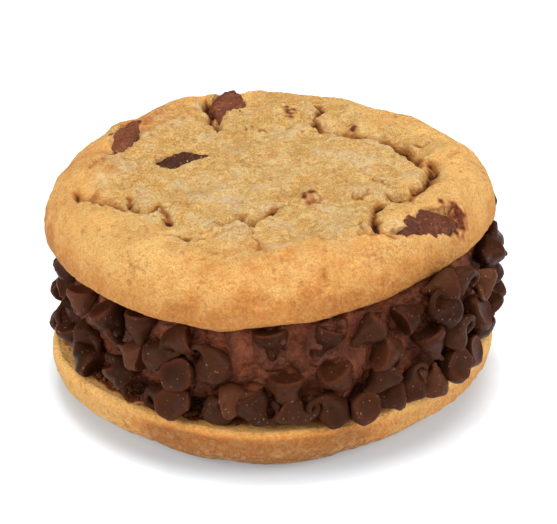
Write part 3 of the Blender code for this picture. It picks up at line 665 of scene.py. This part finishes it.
def makeBigChip(name, spec, look, material):
    # x = a * f * cos t, y = b * f * sin t * (1 - narrow * cos t), z = -c * cos(p)^0.75, with f = sin(p)^0.6
    # times a three-lobed wobble, plus melted ridges. The frame's solid gives its middle.
    (a, b, c), turn, lean, melt, seed, nudge, toneAndShading = spec
    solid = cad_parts[name].data
    corners = np.zeros(len(solid.vertices) * 3)
    solid.vertices.foreach_get("co", corners)
    corners = np.unique(np.round(corners.reshape(-1, 3) / mm, 3), axis=0)
    middle = (corners.max(0) + corners.min(0)) / 2 + np.array(nudge)
    upward = np.array(lean) / np.linalg.norm(lean)
    turn = math.radians(turn)
    along = np.array([math.cos(turn), math.sin(turn), 0])
    along = along - upward * (along @ upward)
    along = along / np.linalg.norm(along)
    frameAxes = np.stack([along, np.cross(upward, along), upward])
    polar = np.linspace(0, np.pi, look["rings"] + 2)[1:-1, None]
    angle = np.linspace(0, 2 * np.pi, look["sides"], endpoint=False)[None]
    flat = np.sin(polar) ** 0.6 * (1 + 0.05 * np.cos(3 * angle + 1))
    rise = -np.sign(np.cos(polar)) * np.abs(np.cos(polar)) ** 0.75
    across = b * flat * np.sin(angle) * (1 - look["narrow"] * np.cos(angle))
    local = np.stack([a * flat * np.cos(angle), across, c * rise + 0 * angle], axis=-1)
    ridges = melt * ripples(local * np.array([0.4, 1.6, 1.0]), 3.0, seed)
    ridges += 0.10 * ripples(local, 2.2, seed + 10) + 0.05 * ripples(local, 0.9, seed + 20)
    local = local + gridNormals(local) * (ridges - 0.1)[..., None]
    grid = local @ frameAxes + middle
    poles = (np.array([[0, 0, -c], [0, 0, c]]) @ frameAxes) + middle
    marks = {"toneAndShading": np.full(grid.shape[:2], float(toneAndShading))}
    return makeClosedGrid(name.replace("chunk_", "bigChip_"), grid, poles[0], poles[1], marks, material,
                          [name])


# The ice cream and the mini chips pressed into its side.

cream = {
    "radius": 42.0, "centreX": 1.5, "pinch": 1.6, "gap": 0.3,
    "lobes": ((2, 0.006, 70), (3, 0.008, 40), (5, 0.005, 10), (9, 0.004, 5)),
    "around": 760, "wallRings": 104, "capRings": 6, "filmed": (25, 26, 49), "hollow": (-20, 26, 2.6),
    "body": (122, 60, 34), "lit": (152, 86, 54), "dark": (58, 24, 10), "film": (88, 48, 30),
    "reliefHeight": 0.00100, "relief": 0.8,
}
miniChip = {
    "radius": 3.4, "height": 7.2, "rings": ((0.9, 0.0), (1.02, 0.24), (0.72, 0.66)), "tipShare": 0.35,
    "grip": 0.9, "spacing": 6.4, "middle": 0.42, "seed": 7, "looseSector": (58, 300),
    "looseHeights": (14.2, 31.6), "litOnes": (2, 11, 19, 34, 42, 49, 55, 63), "sides": 24,
    "loopRadius": 0.36, "tipRadius": 0.19, "slim": (0.32, 0.54), "headroom": -0.75, "tucked": (46, 2.4),
    "body": (46, 22, 10), "dark": (25, 11, 5), "bloomAndLight": (92, 52, 32), "rim": (98, 46, 26),
    "dust": (176, 132, 92), "reliefHeight": 0.00026, "relief": 0.5,
}

# Chips that face the front: degrees round from the front, height in mm, how proud in mm, then the
# lean of the tip from straight out (180 shows the base) and which way it leans (0 right, 90 up). The last
# two say how far the tip curls and which way, 0 towards the front and 90 clockwise, where it isn't 20 and 0.
frontChips = (
    (-85, 30, 0.5, 90, 90), (-80, 23.5, 0, 120, 200, 200, 0), (-61, 27.2, 2.8, 85, 280, 235, 90),
    (-81, 14.2, 1.8, 95, 185, 30, 0), (-70, 12.5, 1.7, 110, 270, 60, 0), (-59.5, 19, 1, 90, 0, 70, 60),
    (-59, 12.5, 2.7, 80, 150, 60, -90), (-44, 17.7, 2, 80, 130, 50, -60), (-45, 12.2, 2, 90, 300, 30, 0),
    (-47.5, 28.3, 2, 110, 300, 240, -30), (-37.5, 30, 1.6, 80, 275, 8, 0), (-40, 22.7, 2, 85, 170, 25, 90),
    (-30, 24.6, 1.8, 80, 15, 35, -90), (-26, 30.4, 1.6, 80, 200, 60, -70),
    (-16.5, 26, 2, 75, 100, 235, -90), (-25, 21.4, 2.4, 155, 270), (-26.5, 14.6, 2, 150, 250),
    (-32, 14.2, 1.4, 90, 170, 240, -90), (-15.5, 14.6, 2, 65, 95, 210, 60),
    (-9.5, 18, 2.2, 85, 15, 40, -90), (-5.5, 13.3, 2.6, 75, 300, 240, -90), (2.5, 20, 2, 85, 275, 15, 0),
    (4.5, 13.3, 2, 80, 330, 225, -90), (14, 13.7, 2, 75, 110, 235, -90),
    (15.5, 21.4, 1.6, 100, 290, 180, 60), (-1.5, 29.9, 0.2, 85, 275, 10, 0),
    (13, 30.5, 0.9, 85, 250, 20, 90), (23.5, 31, 1.6, 85, 200), (37, 32.5, 1.4, 95, 20, 60, 90),
    (46.5, 30, 2.4, 85, 170, 250, 90), (43, 24, 2.4, 80, 285, 45, -60), (30, 25.5, 2, 95, 340, 235, 90),
    (27.5, 19.9, 2, 80, 215, 40, 90), (37, 16.6, 2, 85, 100, 200, 90), (45, 14.5, 2, 80, 85, 40, -90),
    (22.5, 13, 2, 155, 270), (30.5, 12.5, 0.9, 100, 180, 30, 0), (51.5, 16.2, 2.4, 150, 280),
    (53, 23.8, 2.8, 70, 60, 240, 90), (64, 22.9, 1.5, 150, 250), (79, 17.6, 0.6, 60, 330, 30, 60),
    (81, 19.5, 0.85, 130, 90), (69.5, 27.5, 2.4, 70, 230, 200, 90), (82, 26.5, 1.45, 100, 100, 25, 0),
    (76, 33, 1.7, 90, 160), (90, 32.5, 1.65, 80, 120, 30, 90), (91, 28, 2.2, 40, 270),
    (57, 34, 1.6, 60, 30, 200, 90), (48.5, 34.5, 0.9, 120, 180), (44, 18.5, -0.4, 70, 60),
)


def topBaseHeight(x, y):
    # Height of the tilted top cookie's flat underside over a plan point: a plane through its middle.
    normal = topTurn() @ Vector((0, 0, 1))
    centre = topCookie["centre"]
    return centre[2] - (normal.x * (x - centre[0]) + normal.y * (y - centre[1])) / normal.z


def chipPlacements():
    # The front chips as listed, the rest thrown at random with even spacing.
    draw = random.Random(miniChip["seed"])
    chips = [list(chip) for chip in frontChips]
    arc = cream["radius"] * math.pi / 180
    for attempt in range(4000):
        azimuth = draw.uniform(*miniChip["looseSector"])
        height = draw.uniform(*miniChip["looseHeights"])
        proud = draw.uniform(1.2, 2.4) - (1.3 if azimuth > 235 else 0.15 if azimuth < 120 else 0)
        kind = draw.random()
        lean = draw.uniform(75, 105) if kind < 0.6 else draw.uniform(140, 165)
        if kind > 0.82:
            lean = draw.uniform(35, 60)
        turn = draw.uniform(0, 360)
        around = [abs((azimuth - chip[0] + 180) % 360 - 180) * arc for chip in chips]
        if all(math.hypot(gap, height - chip[1]) > miniChip["spacing"] for gap, chip in zip(around, chips)):
            chips.append([azimuth, height, proud, lean, turn])
    return chips


def chipReach(cosine, radius, length):
    # How far a chip reaches back and forth along a direction, from that direction's cosine to its axis.
    flat = math.sqrt(max(0.0, 1 - cosine ** 2)) * radius
    rings = [*miniChip["rings"], (miniChip["tipShare"], 1.0)]
    back = min((rise - miniChip["middle"]) * length * cosine - share * flat for share, rise in rings)
    forth = max((rise - miniChip["middle"]) * length * cosine + share * flat for share, rise in rings)
    return back, forth


def placeChips():
    # One row for each chip: its middle, its axis, the way its tip curls, radius, length and curl.
    draw = random.Random(miniChip["seed"])
    luck = random.Random(miniChip["seed"] + 1)
    rows = []
    for number, (azimuth, height, proud, lean, turn, *tip) in enumerate(chipPlacements()):
        size = draw.uniform(0.9, 1.1)
        curl = draw.random()
        spin = draw.uniform(0, 2 * math.pi)
        azimuth, lean, turn = (math.radians(value) for value in (azimuth, lean, turn))
        outward = Vector((math.sin(azimuth), -math.cos(azimuth), 0))
        sideways = Vector((math.cos(azimuth), math.sin(azimuth), 0))
        alongSide = sideways * math.cos(turn) + Vector((0, 0, math.sin(turn)))
        axis = outward * math.cos(lean) + alongSide * math.sin(lean)
        radius, length = miniChip["radius"] * size, miniChip["height"] * size
        inner = chipReach(axis @ outward, radius, length)[0]
        low, high = chipReach(axis.z, radius, length)
        reach = cream["radius"] + min(proud, -miniChip["grip"] - inner)
        place = Vector((cream["centreX"], 0, 0)) + outward * reach
        lowest = bottomCookie["thickness"] + 1.5 * cream["gap"] - low
        room = miniChip["tucked"][1] if number > miniChip["tucked"][0] else miniChip["headroom"]
        highest = topBaseHeight(place.x, place.y) + room - high
        place.z = min(max(height, lowest), highest)
        bend, way = tip or (20, 0)
        if number >= len(frontChips):
            bend = luck.choice((15, 30, 60, 200, 235)) * (0.4 + curl * 0.6)
            way = math.degrees(spin)
        facing = outward - axis * (axis @ outward)
        facing = facing.normalized() if facing.length > 0.2 else alongSide.cross(axis).normalized()
        around = axis.cross(facing)
        bendWay = facing * math.cos(math.radians(way)) + around * math.sin(math.radians(way))
        rows.append((*place, *axis, *bendWay, radius, length, math.radians(bend)))
    return np.array(rows)


def chipProfile(radius, length, bend, slim):
    # Along the axis, from the middle of the base to the tip: distance s and thickness r. The base is a disc
    # with a crisp round edge, the side bulges and then hollows to a thin tip, and a curl makes it longer.
    tip = miniChip["tipRadius"] * radius
    turnStart, bodyEnd = 0.50 * length, 0.62 * length
    total = bodyEnd + 0.36 * length + bend * miniChip["loopRadius"] * radius
    disc = np.array([0.3, 0.6, 0.8])
    edge = np.radians([12, 40, 66, 88])
    edgeSize = 0.13 * radius
    body = np.linspace(0.16, 1, 7)[:, None]
    tail = np.linspace(0, 1, 15)[1:, None]
    end = np.radians([30, 55, 76])[:, None]
    s = [0 * radius + 0 * disc[:, None], edgeSize * (1 - np.cos(edge))[:, None] + 0 * radius]
    r = [radius * disc[:, None], radius * 0.86 + edgeSize * np.sin(edge)[:, None] * 0.9]
    s.append(body * bodyEnd)
    bulge = 1.0 + 0.03 * np.sin(np.pi * body * 1.2) - slim * np.clip(body - 0.22, 0, 1) ** 1.3 / 0.78 ** 1.3
    r.append(radius * bulge)
    s.append(bodyEnd + tail * (total - tip - bodyEnd))
    hollow = np.clip((s[-1] - bodyEnd) / (0.36 * length), 0, 1)
    r.append(tip + (radius * bulge[-1] - tip) * (1 - hollow) ** 1.35 * (1 + 0.25 * hollow))
    s.append(total - tip + tip * np.sin(end))
    r.append(tip * np.cos(end) + 0 * radius)
    s, r = np.concatenate(s), np.concatenate(r)
    share = np.clip((s - turnStart) / (total - turnStart), 0, 1)
    return s, r, bend * share ** 1.25, total


def makeMiniChips(chips, material):
    # Rings round a centre line that goes straight up the axis and then turns through the curl, all chips at
    # once: centre(s) is the running sum of the direction (axis cos b + way sin b), b the bend so far.
    middle, axis, way = chips[:, 0:3], chips[:, 3:6], chips[:, 6:9]
    radius, length, bend = chips[:, 9], chips[:, 10], chips[:, 11]
    draw = np.random.default_rng(miniChip["seed"])
    slim = draw.uniform(*miniChip["slim"], len(chips))
    s, r, turned, total = chipProfile(radius[None], length[None], bend[None], slim[None])
    s, r, turned = s.T, r.T, turned.T
    across = np.cross(axis, way)
    step = np.diff(s, axis=1, prepend=0)
    halfway = (turned + np.concatenate([turned[:, :1], turned[:, :-1]], axis=1)) / 2
    forward = axis[:, None] * np.cos(halfway)[..., None] + way[:, None] * np.sin(halfway)[..., None]
    foot = middle - axis * (miniChip["middle"] * length)[:, None]
    centre = foot[:, None] + np.cumsum(forward * step[..., None], 1)
    sideAxis = way[:, None] * np.cos(turned)[..., None] - axis[:, None] * np.sin(turned)[..., None]
    angle = np.linspace(0, 2 * np.pi, miniChip["sides"], endpoint=False)
    phase = draw.uniform(0, 2 * np.pi, (len(chips), 3, 1, 1))
    size = draw.uniform(0, 1, (len(chips), 3, 1, 1))
    height = (s / total.T)[..., None]
    uneven = 1 + 0.05 * size[:, 0] * np.cos(2 * angle + phase[:, 0])
    uneven = uneven + 0.035 * size[:, 1] * np.cos(3 * angle + phase[:, 1])
    uneven = uneven + 0.05 * size[:, 2] * np.cos(angle + phase[:, 2] + 5 * height)
    thick = r[..., None] * uneven
    ring = np.cos(angle)[:, None] * sideAxis[:, :, None] + np.sin(angle)[:, None] * across[:, None, None]
    grid = centre[:, :, None] + thick[..., None] * ring
    count, rings, sides = grid.shape[:3]
    away = (grid - centre[:, :, None]) / (thick[..., None] + 1e-9)
    dents = 0.18 * ripples(grid, 5.0, 130) + 0.11 * ripples(grid, 3.0, 131)
    dents = dents + 0.045 * ripples(grid, 1.4, 132)
    grid = grid + away * (dents * np.minimum(1, thick / 2.0))[..., None]
    base = foot + axis * 0.12 * radius[:, None]
    lastForward = axis * np.cos(turned[:, -1:]) + way * np.sin(turned[:, -1:])
    tips = centre[:, -1] + lastForward * (total.T - s[:, -1:])
    dish = np.array([1.0, 0.8, 0.3])[None, :, None, None]
    grid[:, :3] += (axis * 0.10 * radius[:, None])[:, None, None] * dish
    points = np.concatenate([grid.reshape(count, -1, 3), base[:, None], tips[:, None]], axis=1)
    perChip = rings * sides + 2
    quads = tubeFaces(rings, sides)
    triangles = np.concatenate([capFaces(sides, 0, rings * sides, -1),
                                capFaces(sides, (rings - 1) * sides, rings * sides + 1, 1)])
    offset = (np.arange(count) * perChip)[:, None, None]
    rim = bell(s - 0.05 * radius[:, None], 0.09 * radius[:, None])
    rim[:, :2] *= 0.2
    # A random tone for each chip, and for the chips in the lit list a painted light that makes them much
    # paler.
    toneAndShading = draw.uniform(0, 0.36, (count, 1))
    toneAndShading[list(miniChip["litOnes"])] = 0.95
    toneAndShading = np.broadcast_to(toneAndShading, (count, perChip))
    onEnds = lambda values, first, last: np.concatenate(
        [np.repeat(values, sides, axis=1), np.full((count, 1), first), np.full((count, 1), last)], axis=1)
    marks = {"rim": onEnds(rim, 0.0, 0.0), "toneAndShading": toneAndShading}
    return makeMesh("miniChips", points.reshape(-1, 3), (quads[None] + offset).reshape(-1, 4),
                    (triangles[None] + offset).reshape(-1, 3), marks, material, ["ice_cream"])


def miniChipMaterial(look):
    material, shader, wire, place = startMaterial("miniChipChocolate", 0.40, 0.05)
    cloud = speckle(wire, place, 210, 0.35, 0.7, 3.0)
    fine = noise(wire, place, 1700, 4.0, 0.6)
    scuff = speckle(wire, place, 520, 0.58, 0.70, 4.0)
    colour = paint(look, "body", (
        # The bloom colour: the chocolate's bloom, random from chip to chip, and painted light on the lit
        # chips.
        (cloud * 0.18 + marked(wire, "toneAndShading") * 0.75, "bloomAndLight"),
        (scuff * 0.35, "dark"),
        (marked(wire, "rim") * (0.35 + scuff * 0.5), "rim"),
        (speckle(wire, place, 1700, 0.71, 0.77, 1.0) * 0.55, "dust"),
    ))
    roughness = 0.31 + cloud * 0.12 + scuff * 0.10
    return finishMaterial(material, shader, colour, roughness, fine + scuff * 0.5, look)


def makeCream(spec, chips, material):
    # Wall radius = lobed(radius - pinch) + (pinch + ripple) * swell, with swell = sin(pi * share)^0.4 up the
    # wall, soft waves, a low lip of ice cream round each chip, and a sunken foot at the front left.
    angle = np.linspace(0, 2 * np.pi, spec["around"], endpoint=False)[None]
    share = np.linspace(0, 1, spec["wallRings"])[:, None]
    swell = np.sin(np.pi * share) ** 0.4
    radius = lobed(spec["radius"] - spec["pinch"], spec["lobes"], angle) + spec["pinch"] * swell
    radius = radius + 0.35 * np.sin(4 * share + 7 * angle) * swell
    x = spec["centreX"] + radius * np.cos(angle)
    y = radius * np.sin(angle)
    low = bottomCookie["thickness"] + spec["gap"]
    high = topBaseHeight(x, y) - spec["gap"]
    z = low + share * (high - low)
    grid = np.stack([x, y, z], axis=-1)
    inside = np.minimum(smooth(0, 0.05, share), smooth(0, 0.05, 1 - share))
    push = 0.40 * ripples(grid, 9, 101) + 0.24 * ripples(grid, 4.2, 102) + 0.08 * ripples(grid, 1.9, 103)
    lip = np.zeros(x.shape)
    film = np.zeros(x.shape)
    for number, (px, py, pz, ax, ay, az, *_, thick, long, _) in enumerate(chips):
        out = np.array([px - spec["centreX"], py, 0])
        out /= np.linalg.norm(out)
        run = np.array([ax, ay, az]) - out * (ax * out[0] + ay * out[1])
        offset = grid - np.array([px, py, pz])
        offset = offset - (offset @ out)[..., None] * out
        near = np.abs(grid @ out - (np.array([px, py, pz]) @ out)) < 12
        along = np.clip(offset @ run / (run @ run + 1e-6), -0.38 * long, 0.45 * long)
        distance = np.linalg.norm(offset - along[..., None] * run, axis=-1) + np.where(near, 0, 99)
        lip = np.maximum(lip, bell(distance - 0.92 * thick, 0.9))
        if number in spec["filmed"]:
            film = np.maximum(film, 1 - smooth(0.55 * thick, 1.25 * thick, distance))
    push += 0.65 * lip + 1.5 * film * (0.8 + 0.3 * ripples(grid, 3.0, 104))
    azimuth = np.degrees(np.arctan2(x, -y))
    at, wide, deep = spec["hollow"]
    hollow = bell(azimuth - at, wide, 4) * (1 - smooth(0.04, 0.26, share)) * (share < 0.5)
    push -= deep * hollow + 0.5 * (1 - smooth(0, 0.12, share))
    wall = grid + gridNormals(grid) * (push * inside)[..., None]
    wall[..., 2] = np.clip(wall[..., 2], low, high)
    caps = np.linspace(0, 1, spec["capRings"] + 2)[1:-1, None, None]
    middle = np.array([spec["centreX"], 0, 0])
    base = middle + (wall[:1] - middle) * caps
    base[..., 2] = low
    lid = middle + (wall[-1:] - middle) * caps[::-1]
    lid[..., 2] = topBaseHeight(lid[..., 0], lid[..., 1]) - spec["gap"]
    rings = np.concatenate([base, wall, lid])
    # The lip and hollow marks also paint shade: round each chip and in the sunken foot.
    marks = {"lip": lip, "film": film, "hollow": np.broadcast_to(hollow, x.shape)}
    marks = {mark: np.pad(values, ((len(base), len(lid)), (0, 0))) for mark, values in marks.items()}
    top = np.array([spec["centreX"], 0, topBaseHeight(spec["centreX"], 0) - spec["gap"]])
    return makeClosedGrid("iceCream", rings, np.array([spec["centreX"], 0, low]), top, marks, material,
                          ["ice_cream"])


def creamMaterial(look):
    material, shader, wire, place = startMaterial("chocolateIceCream", 0.4, 0.20)
    cloud = speckle(wire, place, 130, 0.35, 0.68, 5.0)
    smear = speckle(wire, place, 420, 0.42, 0.70, 4.0)
    fine = noise(wire, place, 900, 6.0, 0.6)
    colour = paint(look, "body", (
        (cloud * 0.5, "lit"),
        (smear * 0.40, "dark"),
        ((1 - fine.between(0.38, 0.50)) * 0.30, "dark"),
        # Painted shade round each chip, where the ice cream meets it.
        (marked(wire, "lip") * 0.60, "dark"),
        (marked(wire, "film") * 0.75, "film"),
        # Painted shade in the sunken foot at the front left.
        (marked(wire, "hollow"), "dark"),
    ))
    roughness = 0.30 + cloud * 0.16 + smear * 0.12
    return finishMaterial(material, shader, colour, roughness, fine + smear * 0.8, look)


# Crumbs of dough on the lower cookie's ledge.

crumbs = {
    "count": 300, "seed": 17, "sizes": (0.18, 0.62), "heap": (-34, 12), "body": (128, 76, 36),
    "dark": (66, 34, 16), "reliefHeight": 0.0002, "relief": 0.6,
}


def makeCrumbs(spec, material):
    # Lumpy grains: each an octahedron with split edges (18 points, 32 faces), its points pushed in and out.
    corner = np.array([(1, 0, 0), (0, 1, 0), (-1, 0, 0), (0, -1, 0), (0, 0, 1), (0, 0, -1)], float)
    faces = [(0, 1, 4), (1, 2, 4), (2, 3, 4), (3, 0, 4), (1, 0, 5), (2, 1, 5), (3, 2, 5), (0, 3, 5)]
    points = list(corner)
    halves = {}
    split = []
    for a, b, c in faces:
        mids = []
        for first, last in ((a, b), (b, c), (c, a)):
            key = (min(first, last), max(first, last))
            if key not in halves:
                halves[key] = len(points)
                points.append((corner[first] + corner[last]) / math.sqrt(2))
            mids.append(halves[key])
        split += [(a, mids[0], mids[2]), (mids[0], b, mids[1]), (mids[2], mids[1], c), tuple(mids)]
    shape = np.array(points)
    draw = np.random.default_rng(spec["seed"])
    count = spec["count"]
    heaped = draw.random(count) < 0.8
    azimuth = np.where(heaped, draw.normal(*spec["heap"], count), draw.uniform(-180, 180, count))
    azimuth = np.radians(azimuth)
    size = draw.uniform(*spec["sizes"], count) * np.where(heaped, 1.0, 0.6)
    edge = lobed(bottomCookie["radius"], bottomCookie["lobes"], azimuth - np.pi / 2) - 1.9
    reach = np.where(heaped, draw.uniform(-4.2, -1.2, count), draw.uniform(-3.0, -0.5, count)) + edge
    grains = shape[None] * size[:, None, None] * draw.uniform(0.65, 1.25, (count, len(shape), 1))
    grains = grains * draw.uniform(0.6, 1.2, (count, 1, 3))
    grains[..., 0] += (reach * np.sin(azimuth))[:, None]
    grains[..., 1] -= (reach * np.cos(azimuth))[:, None]
    grains[..., 2] += (bottomCookie["thickness"] + size * 0.35)[:, None]
    triangles = (np.array(split)[None] + (np.arange(count) * len(shape))[:, None, None]).reshape(-1, 3)
    return makeMesh("crumbs", grains.reshape(-1, 3), np.zeros((0, 4), int), triangles, {}, material,
                    [])


def crumbMaterial(look):
    material, shader, wire, place = startMaterial("cookieCrumbs", 0.85, 0.25)
    fine = noise(wire, place, 3200, 3.0)
    colour = paint(look, "body", ((speckle(wire, place, 480, 0.4, 0.62, 3.0), "dark"),))
    return finishMaterial(material, shader, colour, 0.7 + fine * 0.25, fine, look)


# Floor, lights and camera.

# The floor glows though it is no lamp, and lights the sandwich from below. Its glow is dim close round the
# sandwich, a painted contact shadow, brighter from about 5 cm out, painted light over the lamps' shadows
# there, and easing to a steady glow between 9 and 20 cm out. Its bluish colour keeps the warm light bounced
# off the sandwich grey.
stage = {
    "floorSize": 6.0, "floor": (0.45, 0.48, 0.52, 1.0), "shadowGlow": 0.22, "ringGlow": 0.70, "farGlow": 0.50,
    "contactShadow": (0.0415, 0.0510), "fade": (0.09, 0.20), "world": 0.12,
    "lights": (("overhead", (-0.05, 0.12, 0.90), (0.35, 0.35), 6.2),
               ("leftBox", (-0.72, -0.48, 0.52), (0.5, 0.5), 6.4),
               ("rightBox", (0.78, -0.36, 0.50), (0.5, 0.5), 7.0),
               ("frontBox", (-0.05, -0.85, 0.60), (0.8, 0.4), 2.1)),
}


def makeStage(spec):
    half = spec["floorSize"] / 2
    mesh = bpy.data.meshes.new("floor")
    corners = [(-half, -half, 0), (half, -half, 0), (half, half, 0), (-half, half, 0)]
    mesh.from_pydata(corners, [], [(0, 1, 2, 3)])
    material, shader, wire, place = startMaterial("glowingFloor", 0.9, 0.2)
    grey = lambda level: (level, level, level, 1)
    # Painted light and shadow: the near glow up to the contact distance paints a contact shadow, the bright
    # ring paints light round it, then the far glow.
    away = wire.node("VectorMath", {0: place}, {"operation": "LENGTH"}, 1)
    glow = away.between(*spec["contactShadow"]).blend(grey(spec["shadowGlow"]), grey(spec["ringGlow"]))
    glow = away.between(*spec["fade"]).blend(glow, grey(spec["farGlow"]))
    shader.inputs["Base Color"].default_value = spec["floor"]
    wire.tree.links.new(glow.socket, shader.inputs["Emission Color"])
    shader.inputs["Emission Strength"].default_value = 1.0
    mesh.materials.append(material)
    floor = bpy.data.objects.new("floor", mesh)
    bpy.context.scene.collection.objects.link(floor)
    world = bpy.data.worlds.new("studio")
    world.use_nodes = True
    world.node_tree.nodes["Background"].inputs["Color"].default_value = (1, 1, 1, 1)
    world.node_tree.nodes["Background"].inputs["Strength"].default_value = spec["world"]
    bpy.context.scene.world = world
    for name, place, size, power in spec["lights"]:
        lamp = bpy.data.lights.new(name, "AREA")
        lamp.shape = "RECTANGLE"
        lamp.size = size[0]
        lamp.size_y = size[1]
        lamp.energy = power
        light = bpy.data.objects.new(name, lamp)
        light.location = place
        light.rotation_euler = (Vector((0, 0, 0.02)) - Vector(place)).to_track_quat("-Z", "Y").to_euler()
        bpy.context.scene.collection.objects.link(light)
    bpy.context.scene.view_settings.view_transform = "Standard"


view = {"elevation": 28.8, "distance": 0.6, "aim": (0.00186, 0.0, 0.0244), "lens": 187.4}


def setCamera(spec):
    # The photograph looks along +Y from above, through a long lens.
    rise = math.radians(spec["elevation"])
    camera = bpy.data.objects.new("camera", bpy.data.cameras.new("camera"))
    camera.data.lens = spec["lens"]
    camera.data.sensor_width = 36.0
    camera.location = Vector(spec["aim"]) + spec["distance"] * Vector((0, -math.cos(rise), math.sin(rise)))
    camera.rotation_euler = (math.pi / 2 - rise, 0, 0)
    bpy.context.scene.collection.objects.link(camera)
    bpy.context.scene.camera = camera


setCamera(view)
makeStage(stage)
dough = cookieMaterial("bakedCookie", cookieLook)
makeTopCookie(topCookie, dough)
makeBottomCookie(bottomCookie, dough)
chocolate = bigChipMaterial(bigChipLook)
for chipName, chipSpec in bigChips.items():
    makeBigChip(chipName, chipSpec, bigChipLook, chocolate)
chips = placeChips()
makeCream(cream, chips, creamMaterial(cream))
makeMiniChips(chips, miniChipMaterial(miniChip))
makeCrumbs(crumbs, crumbMaterial(crumbs))
